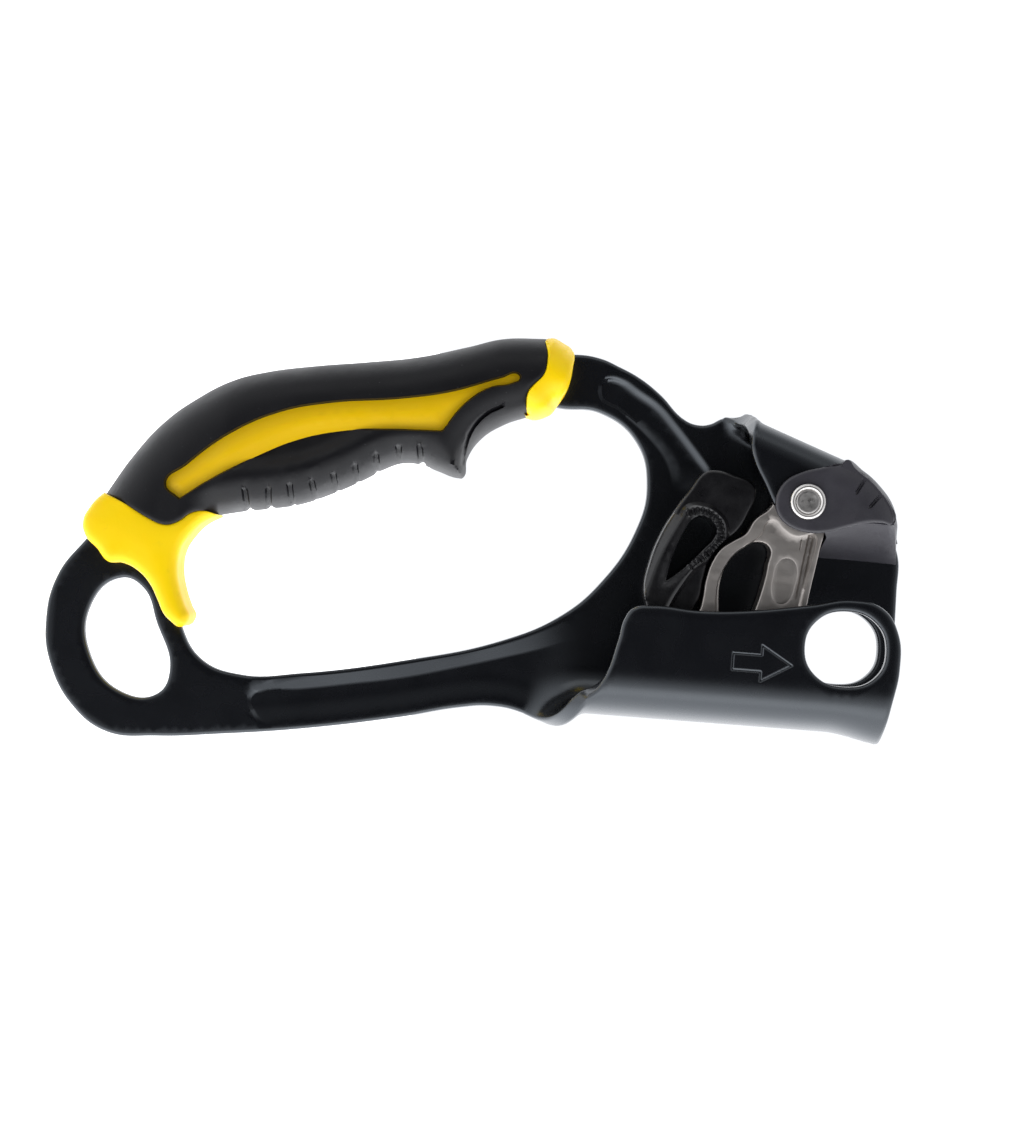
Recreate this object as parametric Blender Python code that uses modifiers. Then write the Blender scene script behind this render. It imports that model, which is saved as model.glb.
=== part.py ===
"""Handled rope clamp (ascender), built as separate solids.

Frame of the part: +Z is the climbing direction and the line of the rope, -Y is the front,
and the hand grip is on the -X side. The origin is on the rope's line, level with the cam's axle.
Dimensions are in millimetres here, and scaled to metres when a solid is made.
"""
import math

import bmesh
import bpy
from mathutils import Matrix, Vector

MM = 0.001

# Folded plate
PLATE = 3.5                 # thickness of the plate
CHANNEL_GAP = 13.0          # clear width between the two walls of the rope channel
WALL_MID = (CHANNEL_GAP + PLATE) / 2    # distance of each wall's middle from the rope's plane
BACK_FACE = CHANNEL_GAP / 2 + PLATE     # y of the plate's back face
FOLD_STEPS = 8              # facets around a fold
GROOVE_DEPTH = 0.9
CLEARANCE = 0.3             # between pieces that touch

# Cam housing fold: a line in the plate, then two tight bends with a flat side wall between them
HOUSING_START = Vector((-52.3, -16.0))
HOUSING_ALONG = Vector((0.339, 0.941)).normalized()
HOUSING_OUT = Vector((-HOUSING_ALONG.y, HOUSING_ALONG.x))
HOUSING_BEND = 3.75         # middle radius of each tight bend
HOUSING_SIDE = 2 * (WALL_MID - HOUSING_BEND)
HOUSING_ARC = HOUSING_BEND * math.pi / 2
HOUSING_TURN = 2 * HOUSING_ARC + HOUSING_SIDE

# Cam, axle and trigger
AXLE = Vector((-39.7, 0.0))
AXLE_RADIUS = 3.0
AXLE_HEAD_RADIUS = 3.9
CAM_HALF_WIDTH = 5.5
HUB_HALF_WIDTH = 6.2
HUB_RADIUS = 7.2
CAM_REACH = 39.8            # from the axle to the teeth, straight below the axle
CAM_SPIRAL = 0.25           # growth of that reach with the angle, a wedging spiral
TEETH = 12
TOOTH_HEIGHT = 0.9
PIN = Vector((-8.5, -25.0))
PIN_RADIUS = 1.5
TRIGGER_HALF_WIDTH = 5.8

# Grip
GRIP_MID = WALL_MID         # y of the grip's middle plane, the plate's own middle
RUBBER_SKIN = 2.0
CORE_GAP = 0.6              # between the sleeve and the core, across a section
CAP_SKIN = 1.7

COLLECTION_NAME = "ascender"


# ---------------------------------------------------------------- scene and materials

def clear_scene():
    for old in list(bpy.data.objects):
        bpy.data.objects.remove(old, do_unlink=True)


def make_collection(name):
    collection = bpy.data.collections.new(name)
    bpy.context.scene.collection.children.link(collection)
    return collection


def material(name, colour, roughness, metallic):
    mat = bpy.data.materials.new(name)
    mat.use_nodes = True
    shader = mat.node_tree.nodes["Principled BSDF"]
    shader.inputs["Base Color"].default_value = (*colour, 1.0)
    shader.inputs["Roughness"].default_value = roughness
    shader.inputs["Metallic"].default_value = metallic
    return mat


# ---------------------------------------------------------------- helpers that make meshes

def place(mesh, name, collection, mat=None):
    obj = bpy.data.objects.new(name, mesh)
    collection.objects.link(obj)
    if mat is not None:
        mesh.materials.clear()
        mesh.materials.append(mat)
    return obj


def cutter(mesh, name):
    obj = place(mesh, name, CUTTERS)
    obj.hide_render = True
    obj.display_type = "WIRE"
    return obj


def outline_curve(outlines, half_depth, resolution):
    """A filled 2D curve; a point with a third value is a sharp corner."""
    curve = bpy.data.curves.new("outline", "CURVE")
    curve.dimensions = "2D"
    curve.fill_mode = "BOTH"
    curve.extrude = half_depth * MM
    curve.resolution_u = resolution
    for points in outlines:
        spline = curve.splines.new("BEZIER")
        spline.bezier_points.add(len(points) - 1)
        spline.use_cyclic_u = True
        for knot, point in zip(spline.bezier_points, points):
            knot.co = (point[0] * MM, point[1] * MM, 0.0)
            kind = "VECTOR" if len(point) == 3 else "AUTO"
            knot.handle_left_type = kind
            knot.handle_right_type = kind
    return curve


def mesh_from_outline(name, outlines, y_low, y_high, resolution=4):
    """A plate with the given outline in the X-Z plane, between two depths."""
    curve = outline_curve(outlines, (y_high - y_low) / 2, resolution)
    holder = bpy.data.objects.new("holder", curve)
    bpy.context.scene.collection.objects.link(holder)
    depsgraph = bpy.context.evaluated_depsgraph_get()
    mesh = bpy.data.meshes.new_from_object(holder.evaluated_get(depsgraph))
    mesh.name = name
    bpy.data.objects.remove(holder, do_unlink=True)
    stand = Matrix.Translation((0, (y_low + y_high) / 2 * MM, 0)) @ Matrix.Rotation(math.pi / 2, 4, "X")
    mesh.transform(stand)
    work = bmesh.new()
    work.from_mesh(mesh)
    bmesh.ops.remove_doubles(work, verts=work.verts, dist=0.00002)
    bmesh.ops.recalc_face_normals(work, faces=work.faces)
    work.to_mesh(mesh)
    work.free()
    return mesh


def rod_mesh(name, centre, radius, y_low, y_high, segments=32):
    """A round rod along Y at a point of the X-Z plane."""
    work = bmesh.new()
    bmesh.ops.create_cone(work, cap_ends=True, segments=segments, radius1=radius * MM,
                          radius2=radius * MM, depth=(y_high - y_low) * MM)
    lay = Matrix.Rotation(math.pi / 2, 4, "X")
    shift = Matrix.Translation((centre[0] * MM, (y_low + y_high) / 2 * MM, centre[1] * MM))
    bmesh.ops.transform(work, matrix=shift @ lay, verts=work.verts)
    bmesh.ops.recalc_face_normals(work, faces=work.faces)
    mesh = bpy.data.meshes.new(name)
    work.to_mesh(mesh)
    work.free()
    return mesh


def box_mesh(name, low, high):
    work = bmesh.new()
    bmesh.ops.create_cube(work, size=1.0)
    size = [(b - a) * MM for a, b in zip(low, high)]
    middle = [(a + b) / 2 * MM for a, b in zip(low, high)]
    bmesh.ops.scale(work, vec=size, verts=work.verts)
    bmesh.ops.translate(work, vec=middle, verts=work.verts)
    mesh = bpy.data.meshes.new(name)
    work.to_mesh(mesh)
    work.free()
    return mesh


def superellipse(centre, across, half_depth, depth_mid, count, power):
    """One closed ring: across is the half width in the X-Z plane, half_depth is along Y."""
    ring = []
    for i in range(count):
        angle = 2 * math.pi * i / count
        c = math.cos(angle)
        s = math.sin(angle)
        u = math.copysign(abs(c) ** (2 / power), c)
        v = math.copysign(abs(s) ** (2 / power), s)
        flat = centre + across * u
        ring.append(Vector((flat.x * MM, (depth_mid + half_depth * v) * MM, flat.y * MM)))
    return ring


def loft_mesh(name, rings):
    work = bmesh.new()
    rows = [[work.verts.new(p) for p in ring] for ring in rings]
    for lower, upper in zip(rows, rows[1:]):
        for i in range(len(lower)):
            j = (i + 1) % len(lower)
            work.faces.new((lower[i], lower[j], upper[j], upper[i]))
    work.faces.new(list(reversed(rows[0])))
    work.faces.new(rows[-1])
    bmesh.ops.recalc_face_normals(work, faces=work.faces)
    mesh = bpy.data.meshes.new(name)
    work.to_mesh(mesh)
    work.free()
    return mesh


def spread_outline(mesh, distance):
    """Move the walls of an upright plate outwards, in the X-Z plane."""
    work = bmesh.new()
    work.from_mesh(mesh)
    work.normal_update()
    moves = []
    for vert in work.verts:
        sides = [f.normal for f in vert.link_faces if abs(f.normal.y) < 0.5]
        out = sum(sides, Vector())
        out.y = 0.0
        moves.append(out.normalized() * distance * MM)
    for vert, move in zip(work.verts, moves):
        vert.co += move
    work.to_mesh(mesh)
    work.free()


def boolean(obj, tool, operation):
    mod = obj.modifiers.new(operation.lower(), "BOOLEAN")
    mod.operation = operation
    mod.solver = "EXACT"
    mod.object = tool


def cut(obj, mesh, name):
    boolean(obj, cutter(mesh, name), "DIFFERENCE")


def join(obj, mesh, name):
    boolean(obj, cutter(mesh, name), "UNION")


def smooth(obj, angle=35):
    """Smooth shading with edges sharper than the angle, in degrees, kept crisp."""
    obj.data.shade_smooth()
    obj.data.set_sharp_from_angle(angle=math.radians(angle))


def coil(name, centre, radius, wire, y_start, pitch, turns, start_angle, leg, mat):
    """A torsion spring around Y: a helix with a straight tangent leg at each end."""
    steps = 14
    helix = []
    for i in range(int(turns * steps) + 1):
        angle = start_angle + 2 * math.pi * i / steps
        helix.append(Vector((centre.x + radius * math.cos(angle), y_start + pitch * i / steps,
                             centre.y + radius * math.sin(angle))))
    first = helix[0] + (helix[0] - helix[1]).normalized() * leg
    last = helix[-1] + (helix[-1] - helix[-2]).normalized() * leg
    points = [first] + helix + [last]
    curve = bpy.data.curves.new(name, "CURVE")
    curve.dimensions = "3D"
    curve.bevel_depth = wire / 2 * MM
    curve.bevel_resolution = 2
    curve.use_fill_caps = True
    spline = curve.splines.new("POLY")
    spline.points.add(len(points) - 1)
    for knot, point in zip(spline.points, points):
        knot.co = (*(point * MM), 1.0)
    curve.materials.append(mat)
    obj = bpy.data.objects.new(name, curve)
    PARTS.objects.link(obj)
    return obj


def turned(name, centre, profile, mat, steps=32):
    """A turned piece along Y; profile is (radius, distance to the front), front first."""
    mesh = bpy.data.meshes.new(name)
    verts = [(radius * MM, 0.0, front * MM) for radius, front in profile]
    mesh.from_pydata(verts, [(i, i + 1) for i in range(len(verts) - 1)], [])
    obj = place(mesh, name, PARTS, mat)
    obj.location = (centre.x * MM, 0.0, centre.y * MM)
    obj.rotation_euler = (math.pi / 2, 0.0, 0.0)
    screw = obj.modifiers.new("turn", "SCREW")
    screw.axis = "Z"
    screw.angle = 2 * math.pi
    screw.steps = steps
    screw.render_steps = steps
    screw.use_merge_vertices = True
    screw.merge_threshold = 0.00002
    screw.use_smooth_shade = True
    return obj


# ---------------------------------------------------------------- the folded plate

def smoothstep(value):
    value = min(1.0, max(0.0, value))
    return value * value * (3 - 2 * value)


def channel_flat(x, z):
    """Where a point of the channel's front wall lies on the flat pattern."""
    return (math.pi * WALL_MID - x, z)


def housing_flat(along, inward):
    """Where a point of the housing's front flange lies on the flat pattern."""
    point = HOUSING_START + HOUSING_ALONG * along + HOUSING_OUT * (HOUSING_TURN + inward)
    return (point.x, point.y)


def plate_outline():
    """The flat pattern's outer edge, clockwise from the top of the plate."""
    top_edge = [(-22.0, 22.9), (-30.5, 22.3), (-37.0, 18.0), (-41.6, 12.6)]
    flange = [housing_flat(24.2, -20.8), housing_flat(24.4, -9.0), housing_flat(24.6, 0.5),
              housing_flat(24.6, 7.0), housing_flat(22.6, 11.2), housing_flat(18.8, 12.3),
              housing_flat(14.8, 10.9), housing_flat(9.3, 6.4), housing_flat(5.3, 2.8),
              housing_flat(2.6, -1.5), housing_flat(1.2, -8.0), housing_flat(0.0, -13.6)]
    upper_bar = [(-57.0, -18.9), (-55.7, -21.2), (-55.3, -23.6), (-56.2, -26.8), (-61.5, -32.8),
                 (-64.7, -37.5), (-66.8, -42.1), (-68.4, -46.6), (-68.8, -52.4)]
    spine = [(-66.5, -64.0), (-62.0, -76.0), (-59.0, -88.0), (-57.0, -101.0), (-54.5, -115.0),
             (-50.0, -128.0), (-42.0, -139.5), (-30.5, -149.5)]
    loop = [(-20.6, -156.6), (-11.3, -162.9), (-0.7, -164.7), (8.1, -163.1), (17.4, -157.3),
            (22.5, -149.4), (22.6, -138.3)]
    lower_bar = [(21.1, -124.4), (18.6, -106.6), (14.3, -84.7), (11.2, -72.0), (10.3, -65.0),
                 (11.2, -58.2), (14.0, -52.0), (18.6, -46.4)]
    wall = [channel_flat(2.8, -41.6), channel_flat(-6.8, -38.4), channel_flat(-11.2, -37.5),
            channel_flat(-13.9, -35.7), channel_flat(-14.8, -31.5), channel_flat(-14.5, -21.3),
            channel_flat(-15.1, -12.6), channel_flat(-17.5, 2.4), channel_flat(-19.3, 11.5),
            channel_flat(-18.0, 18.2), channel_flat(-13.0, 21.9), channel_flat(-5.0, 22.9)]
    mouth = [(22.0, 21.6), (13.0, 20.6), (4.0, 22.3)]
    return top_edge + flange + upper_bar + spine + loop + lower_bar + wall + mouth


def hand_opening():
    return [(-56.8, -55.5), (-56.3, -45.7), (-50.5, -37.2), (-40.9, -34.1), (-31.0, -35.8),
            (-18.7, -42.8), (-10.7, -51.1), (-4.2, -63.9), (1.9, -85.6), (6.3, -107.5),
            (7.6, -120.8), (4.7, -129.9), (-3.5, -135.2), (-14.0, -138.5), (-25.0, -135.5),
            (-33.5, -127.0), (-39.0, -116.5), (-43.0, -104.0), (-46.0, -91.0), (-49.0, -81.0),
            (-53.4, -73.0), (-56.8, -67.5), (-58.6, -61.0)]


def lower_hole():
    return [(-11.7, -148.8), (-5.2, -155.1), (6.1, -154.2), (13.4, -146.9), (13.2, -138.9),
            (7.9, -136.5), (-2.6, -140.2), (-10.0, -143.8)]


def upper_hole():
    return [(-16.7, 10.3), (-14.3, 4.3), (-8.4, 2.0), (-2.5, 4.6), (-0.4, 11.3),
            (-2.9, 17.7), (-8.8, 19.6), (-14.6, 17.0)]


def fold_channel(x, z):
    """Fold the +X side of the plate around the rope; returns x and depth."""
    grip_of_fold = smoothstep((z + 58.0) / 14.0)
    if x <= 0 or grip_of_fold < 0.01:
        return x, WALL_MID
    radius = WALL_MID / grip_of_fold
    turn = min(x / radius, math.pi)
    flare = 2.2 * smoothstep((z - 8.0) / 15.0) * math.sin(turn) ** 2
    run_on = max(0.0, x - math.pi * radius)
    depth = WALL_MID - radius + radius * math.cos(turn)
    return (radius + flare) * math.sin(turn) - run_on, depth


def housing_profile(out):
    """How far the folded sheet reaches out, and how far it drops to the front."""
    if out < HOUSING_ARC:
        turn = out / HOUSING_BEND
        return HOUSING_BEND * math.sin(turn), HOUSING_BEND * (1 - math.cos(turn))
    if out < HOUSING_ARC + HOUSING_SIDE:
        return HOUSING_BEND, HOUSING_BEND + out - HOUSING_ARC
    if out < HOUSING_TURN:
        turn = (out - HOUSING_ARC - HOUSING_SIDE) / HOUSING_BEND
        drop = HOUSING_BEND + HOUSING_SIDE + HOUSING_BEND * math.sin(turn)
        return HOUSING_BEND * math.cos(turn), drop
    return HOUSING_TURN - out, 2 * WALL_MID


def fold_housing(point):
    """Fold the housing's flange over to the front; returns the plan point and depth."""
    offset = point - HOUSING_START
    along = offset.dot(HOUSING_ALONG)
    out = offset.dot(HOUSING_OUT)
    amount = smoothstep((along + 3.5) / 4.5)
    if out <= 0 or amount < 0.01:
        return point, WALL_MID
    reach, drop = housing_profile(out)
    reach = out + (reach - out) * amount
    start = HOUSING_START + HOUSING_ALONG * along
    return start + HOUSING_OUT * reach, WALL_MID - drop * amount


def fold(x, z):
    """Where a point of the flat pattern ends up on the folded plate's middle surface."""
    if x > 0:
        folded_x, depth = fold_channel(x, z)
        return Vector((folded_x, depth, z))
    plan, depth = fold_housing(Vector((x, z)))
    return Vector((plan.x, depth, plan.y))


def score(work, origin, across, inside):
    """Split the faces of one region along a line of the flat pattern."""
    faces = [f for f in work.faces if inside(f.calc_center_median() / MM)]
    edges = {e for f in faces for e in f.edges}
    verts = {v for f in faces for v in f.verts}
    bmesh.ops.bisect_plane(work, geom=faces + list(edges) + list(verts), dist=0.000001,
                           plane_co=(origin[0] * MM, 0, origin[1] * MM),
                           plane_no=(across[0], 0, across[1]))


def in_channel_fold(centre):
    return centre.x > -30


def in_housing_fold(centre):
    return centre.x < -20 and centre.z > -26


def axle_holes():
    """The rivet's hole in the plate and in the flange, on the flat pattern."""
    offset = AXLE - HOUSING_START
    along = offset.dot(HOUSING_ALONG)
    inward = -offset.dot(HOUSING_OUT)
    radius = AXLE_RADIUS + CLEARANCE
    ring = [(radius * math.cos(a), radius * math.sin(a)) for a in [math.pi * i / 4 for i in range(8)]]
    in_plate = [(AXLE.x + u, AXLE.y + v) for u, v in ring]
    in_flange = [housing_flat(along + u, inward + v) for u, v in ring]
    return [in_plate, in_flange]


def frame_mesh():
    outlines = [plate_outline(), hand_opening(), lower_hole(), upper_hole()]
    outlines.append([channel_flat(x, z) for x, z in upper_hole()])
    outlines += axle_holes()
    mesh = mesh_from_outline("frame", outlines, 0, 0, resolution=3)
    work = bmesh.new()
    work.from_mesh(mesh)
    for i in range(FOLD_STEPS + 1):
        score(work, (math.pi * WALL_MID * i / FOLD_STEPS, 0), (1, 0), in_channel_fold)
    for z in (-57, -53, -50, -47, -44, 9, 13, 17):
        score(work, (0, z), (0, 1), lambda centre: centre.x > 0 and centre.z > -60)
    for i in range(5):
        for start in (0, HOUSING_ARC + HOUSING_SIDE):
            line = HOUSING_START + HOUSING_OUT * (start + HOUSING_ARC * i / 4)
            score(work, line, HOUSING_OUT, in_housing_fold)
    for along in (-3.5, -2, -0.5, 1):
        score(work, HOUSING_START + HOUSING_ALONG * along, HOUSING_ALONG, in_housing_fold)
    for vert in work.verts:
        vert.co = fold(vert.co.x / MM, vert.co.z / MM) * MM
    bmesh.ops.remove_doubles(work, verts=work.verts, dist=0.00005)
    bmesh.ops.triangulate(work, faces=[f for f in work.faces if len(f.verts) > 4])
    work.to_mesh(mesh)
    work.free()
    return mesh


def add_thickness(obj, thickness):
    mod = obj.modifiers.new("thickness", "SOLIDIFY")
    mod.thickness = thickness * MM
    mod.offset = 0.0
    mod.use_even_offset = True
    mod.use_quality_normals = True


def lower_groove():
    return [(9.7, -118.5), (13.6, -119.4), (16.0, -116.5), (14.6, -104.0), (12.0, -90.0),
            (9.0, -77.0), (6.8, -66.0), (5.5, -57.0), (1.5, -54.5), (-2.5, -57.0), (-0.4, -63.6),
            (2.8, -74.5), (5.7, -85.4), (7.8, -96.3), (9.2, -107.3)]


def upper_groove():
    return [(-61.4, -46.5), (-63.9, -44.1), (-61.6, -37.2), (-57.5, -32.5), (-51.7, -27.6),
            (-46.5, -23.5), (-43.5, -25.5), (-45.9, -29.8), (-51.2, -33.1), (-54.9, -36.7),
            (-58.4, -41.4)]


def build_frame():
    obj = place(frame_mesh(), "frame", PARTS, METAL_DARK)
    add_thickness(obj, PLATE)
    front = CHANNEL_GAP / 2
    cut(obj, mesh_from_outline("groove_a", [lower_groove()], front - 2, front + GROOVE_DEPTH), "cut_groove_a")
    cut(obj, mesh_from_outline("groove_b", [upper_groove()], front - 2, front + GROOVE_DEPTH), "cut_groove_b")
    return obj


def plate_space():
    """The flat plate with clearance all round, used to cut the pocket for the grip's spine."""
    outlines = [plate_outline(), hand_opening(), lower_hole()]
    low = CHANNEL_GAP / 2 - CLEARANCE
    high = BACK_FACE + CLEARANCE
    mesh = mesh_from_outline("plate_space", outlines, low, high, 3)
    spread_outline(mesh, CLEARANCE)
    return mesh


# ---------------------------------------------------------------- the grip

# Outer edge, inner edge (X, Z) and half depth of the rubber, from the guard up to the collar
GRIP_STATIONS = [
    ((-30.2, -153.4), (-27.3, -129.0), 11.2),
    ((-39.0, -148.2), (-28.1, -125.5), 12.0),
    ((-47.5, -141.3), (-28.7, -122.0), 12.8),
    ((-54.0, -132.8), (-29.3, -118.5), 13.4),
    ((-58.4, -123.5), (-30.6, -112.5), 13.8),
    ((-61.5, -111.0), (-33.5, -104.0), 13.8),
    ((-63.6, -98.0), (-38.6, -94.6), 13.6),
    ((-65.4, -86.5), (-41.7, -86.5), 13.3),
    ((-68.0, -77.5), (-40.2, -79.0), 13.0),
    ((-69.2, -74.5), (-40.0, -75.6), 12.6),
    ((-70.2, -71.5), (-46.5, -73.0), 12.2),
    ((-71.2, -66.5), (-51.5, -67.8), 11.6),
    ((-71.8, -58.6), (-54.4, -60.8), 11.0),
]
COLLAR_STATIONS = [
    ((-71.9, -58.2), (-54.3, -60.3), 11.1),
    ((-71.4, -55.0), (-54.9, -57.2), 10.6),
    ((-69.8, -52.9), (-56.6, -54.7), 9.2),
]
GRIP_SECTION = 24           # points around a section of the grip
GRIP_SQUARENESS = 2.4       # exponent of its superellipse


def grip_rings(stations, inset, run_on=0.0):
    """Sections of the grip, drawn in by an inset and run on past both ends."""
    rings = []
    for outer, inner, half_depth in stations:
        across = (Vector(inner) - Vector(outer)) / 2
        across *= 1 - inset / across.length
        middle = (Vector(outer) + Vector(inner)) / 2
        rings.append(superellipse(middle, across, half_depth - inset, GRIP_MID,
                                  GRIP_SECTION, GRIP_SQUARENESS))
    if run_on:
        rings.insert(0, run_on_ring(rings[0], rings[1], run_on))
        rings.append(run_on_ring(rings[-1], rings[-2], run_on))
    return rings


def run_on_ring(ring, previous, distance):
    """A copy of an end ring, moved on away from the ring before it."""
    step = sum(ring, Vector()) - sum(previous, Vector())
    return [point + step.normalized() * distance * MM for point in ring]


def guard_outline():
    """The finger guard that straddles the plate below the grip."""
    outside = [(-29.3, -153.9), (-27.2, -155.7), (-23.9, -157.3), (-20.6, -156.6), (-17.9, -153.8),
               (-15.4, -151.1), (-15.4, -148.0), (-13.8, -144.6), (-11.1, -141.7), (-7.0, -139.4),
               (-3.6, -137.0), (-2.1, -134.2)]
    inside = [(-4.3, -132.3), (-10.1, -134.7), (-14.4, -135.7), (-18.9, -135.4), (-22.8, -133.2),
              (-26.2, -129.6)]
    rubber_side = [(-26.8, -131.5), (-27.4, -138.0), (-28.2, -145.0), (-28.8, -150.0)]
    return outside + inside + rubber_side


def build_grip_core(name, front):
    """One half of the yellow core: sleeve body, finger guard and collar around the plate."""
    rings = grip_rings(GRIP_STATIONS, RUBBER_SKIN + CORE_GAP, run_on=2.5)
    obj = place(loft_mesh(name, rings), name, PARTS, YELLOW)
    guard = mesh_from_outline("guard", [guard_outline()], GRIP_MID - 9.8, GRIP_MID + 9.8, 3)
    join(obj, guard, name + "_guard")
    join(obj, loft_mesh("collar", grip_rings(COLLAR_STATIONS, 0.0)), name + "_collar")
    cut(obj, plate_space(), name + "_plate")
    if front:
        half = box_mesh("half", (-90, GRIP_MID - CLEARANCE / 2, -180), (20, 60, -30))
    else:
        half = box_mesh("half", (-90, -60, -180), (20, GRIP_MID + CLEARANCE / 2, -30))
    cut(obj, half, name + "_half")
    return obj


def in_window(station, around):
    """The sleeve's faces left out for the window, alike at the front and the rear."""
    if around >= GRIP_SECTION // 2:
        around = GRIP_SECTION - 1 - around
    return 2 <= station <= 9 and 6 <= around <= 8


def build_grip_rubber():
    """The soft sleeve around the core, open at both ends and at a window on each side."""
    work = bmesh.new()
    outer = [[work.verts.new(p) for p in ring] for ring in grip_rings(GRIP_STATIONS, 0.0)]
    inner = [[work.verts.new(p) for p in ring] for ring in grip_rings(GRIP_STATIONS, RUBBER_SKIN)]
    spans = len(outer) - 1

    def filled(i, j):
        return 0 <= i < spans and not in_window(i, j % GRIP_SECTION)

    for i in range(spans):
        for j in range(GRIP_SECTION):
            if not filled(i, j):
                continue
            k = (j + 1) % GRIP_SECTION
            corners = [(i, j), (i + 1, j), (i + 1, k), (i, k)]
            work.faces.new([outer[a][b] for a, b in corners])
            work.faces.new([inner[a][b] for a, b in reversed(corners)])
            beside = [filled(i, j - 1), filled(i + 1, j), filled(i, j + 1), filled(i - 1, j)]
            for side, neighbour in enumerate(beside):
                if not neighbour:
                    (a, b), (c, d) = corners[side], corners[(side + 1) % 4]
                    work.faces.new((outer[a][b], inner[a][b], inner[c][d], outer[c][d]))
    bmesh.ops.delete(work, geom=[v for v in work.verts if not v.link_faces], context="VERTS")
    bmesh.ops.recalc_face_normals(work, faces=work.faces)
    mesh = bpy.data.meshes.new("grip_rubber")
    work.to_mesh(mesh)
    work.free()
    obj = place(mesh, "grip_rubber", PARTS, RUBBER)
    smooth(obj)
    return obj


# ---------------------------------------------------------------- the cap over the housing

def cap_front_outline():
    """The cap's front skin: a dome with an ear around the rivet."""
    dome = [(-49.3, 7.3), (-47.4, 12.0), (-44.0, 16.2), (-40.5, 18.8), (-36.2, 20.2)]
    ear = [(-36.6, 15.5), (-35.8, 11.0), (-33.9, 6.0), (-33.1, 0.2), (-34.2, -3.9), (-37.5, -6.8),
           (-41.8, -6.6), (-44.7, -4.2), (-46.5, 0.0)]
    return dome + ear


def cap_block_outline():
    dome = [(-48.7, 7.7), (-46.9, 12.0), (-43.6, 15.9), (-40.2, 18.3), (-35.8, 20.9), (-31.0, 22.6),
            (-27.8, 22.7)]
    return dome + [(-27.8, 14.0), (-28.0, 5.8), (-31.5, 5.6), (-37.0, 8.6), (-43.0, 8.6)]


def cap_rear_outline():
    return [(-49.3, 7.5), (-47.4, 12.2), (-44.0, 16.4), (-40.5, 19.2), (-36.0, 21.6), (-31.5, 22.9),
            (-31.5, 20.0), (-36.0, 16.0), (-41.5, 9.5), (-45.5, 6.5)]


def housing_plan(along, inward):
    """A point in plan, measured along the housing's fold line and inwards from it."""
    point = HOUSING_START + HOUSING_ALONG * along - HOUSING_OUT * inward
    return (point.x, point.y)


def flange_space():
    return [housing_plan(26.0, -8.0), housing_plan(24.9, 0.5), housing_plan(24.9, 7.2),
            housing_plan(22.8, 11.5), housing_plan(18.8, 12.6), housing_plan(14.6, 11.2),
            housing_plan(5.0, 3.0), housing_plan(5.0, -8.0)]


def plate_corner_space():
    return [(-20.0, 23.5, "corner"), (-30.4, 22.6), (-37.2, 18.3), (-41.9, 12.9), (-46.0, 7.4),
            (-49.0, -2.0, "corner"), (-20.0, -2.0, "corner")]


def side_wall_space():
    return [(*housing_plan(24.9, -9.0), "corner"), (*housing_plan(24.9, -1.7), "corner"),
            (*housing_plan(12.0, -1.7), "corner"), (*housing_plan(12.0, -9.0), "corner")]


def build_top_cap():
    front = -WALL_MID - PLATE / 2 - CLEARANCE
    back = BACK_FACE + CLEARANCE
    gap = CHANNEL_GAP / 2 - CLEARANCE
    skin = mesh_from_outline("top_cap", [cap_front_outline()], front - CAP_SKIN, front, 3)
    obj = place(skin, "top_cap", PARTS, PLASTIC)
    block = mesh_from_outline("block", [cap_block_outline()], front - 1.1, back - 0.1, 3)
    join(obj, block, "cap_block")
    rear = mesh_from_outline("rear", [cap_rear_outline()], back - 0.9, back + CAP_SKIN, 3)
    join(obj, rear, "cap_rear")
    hub_space = rod_mesh("hub_space", AXLE, HUB_RADIUS + 1.4, front - 0.3, gap + 0.2, 32)
    cut(obj, hub_space, "cut_hub_space")
    cut(obj, mesh_from_outline("flange", [flange_space()], front - 0.2, -gap, 3), "cut_flange")
    cut(obj, mesh_from_outline("plate", [plate_corner_space()], gap, back, 3), "cut_plate_corner")
    cut(obj, mesh_from_outline("side", [side_wall_space()], front - 0.1, back + 0.1, 3), "cut_side")
    slope = box_mesh("slope", (0, -40, 1.5), (30, 40, 40))
    lean = math.atan2(6.4, 18.2)
    turn = Matrix.Rotation(-lean, 4, "Z")
    slope.transform(Matrix.Translation((-34.2 * MM, (front - CAP_SKIN) * MM, 0)) @ turn)
    cut(obj, slope, "cut_slope")
    cut(obj, rod_mesh("rivet_space", AXLE, AXLE_RADIUS + CLEARANCE, -30, 0, 32), "cut_rivet_space")
    return obj


# ---------------------------------------------------------------- axle, cam and trigger

def build_axle():
    skin_front = WALL_MID + PLATE / 2 + CLEARANCE + CAP_SKIN
    head = skin_front + CLEARANCE
    tail = -(BACK_FACE + 3.4)
    profile = [(0, head + 1.1), (AXLE_HEAD_RADIUS - 0.6, head + 1.1), (AXLE_HEAD_RADIUS, head + 0.6),
               (AXLE_HEAD_RADIUS, head), (AXLE_RADIUS, head), (AXLE_RADIUS, tail + 0.4),
               (AXLE_RADIUS - 0.4, tail), (0, tail)]
    return turned("cam_axle", AXLE, profile, STEEL)


def build_tail_ring():
    low = -(BACK_FACE + CLEARANCE)
    inner = AXLE_RADIUS + 0.15
    profile = [(inner, low), (5.4, low), (5.4, low - 1.4), (4.6, low - 2.2), (inner, low - 2.2),
               (inner, low)]
    return turned("axle_tail_ring", AXLE, profile, STEEL)


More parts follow.
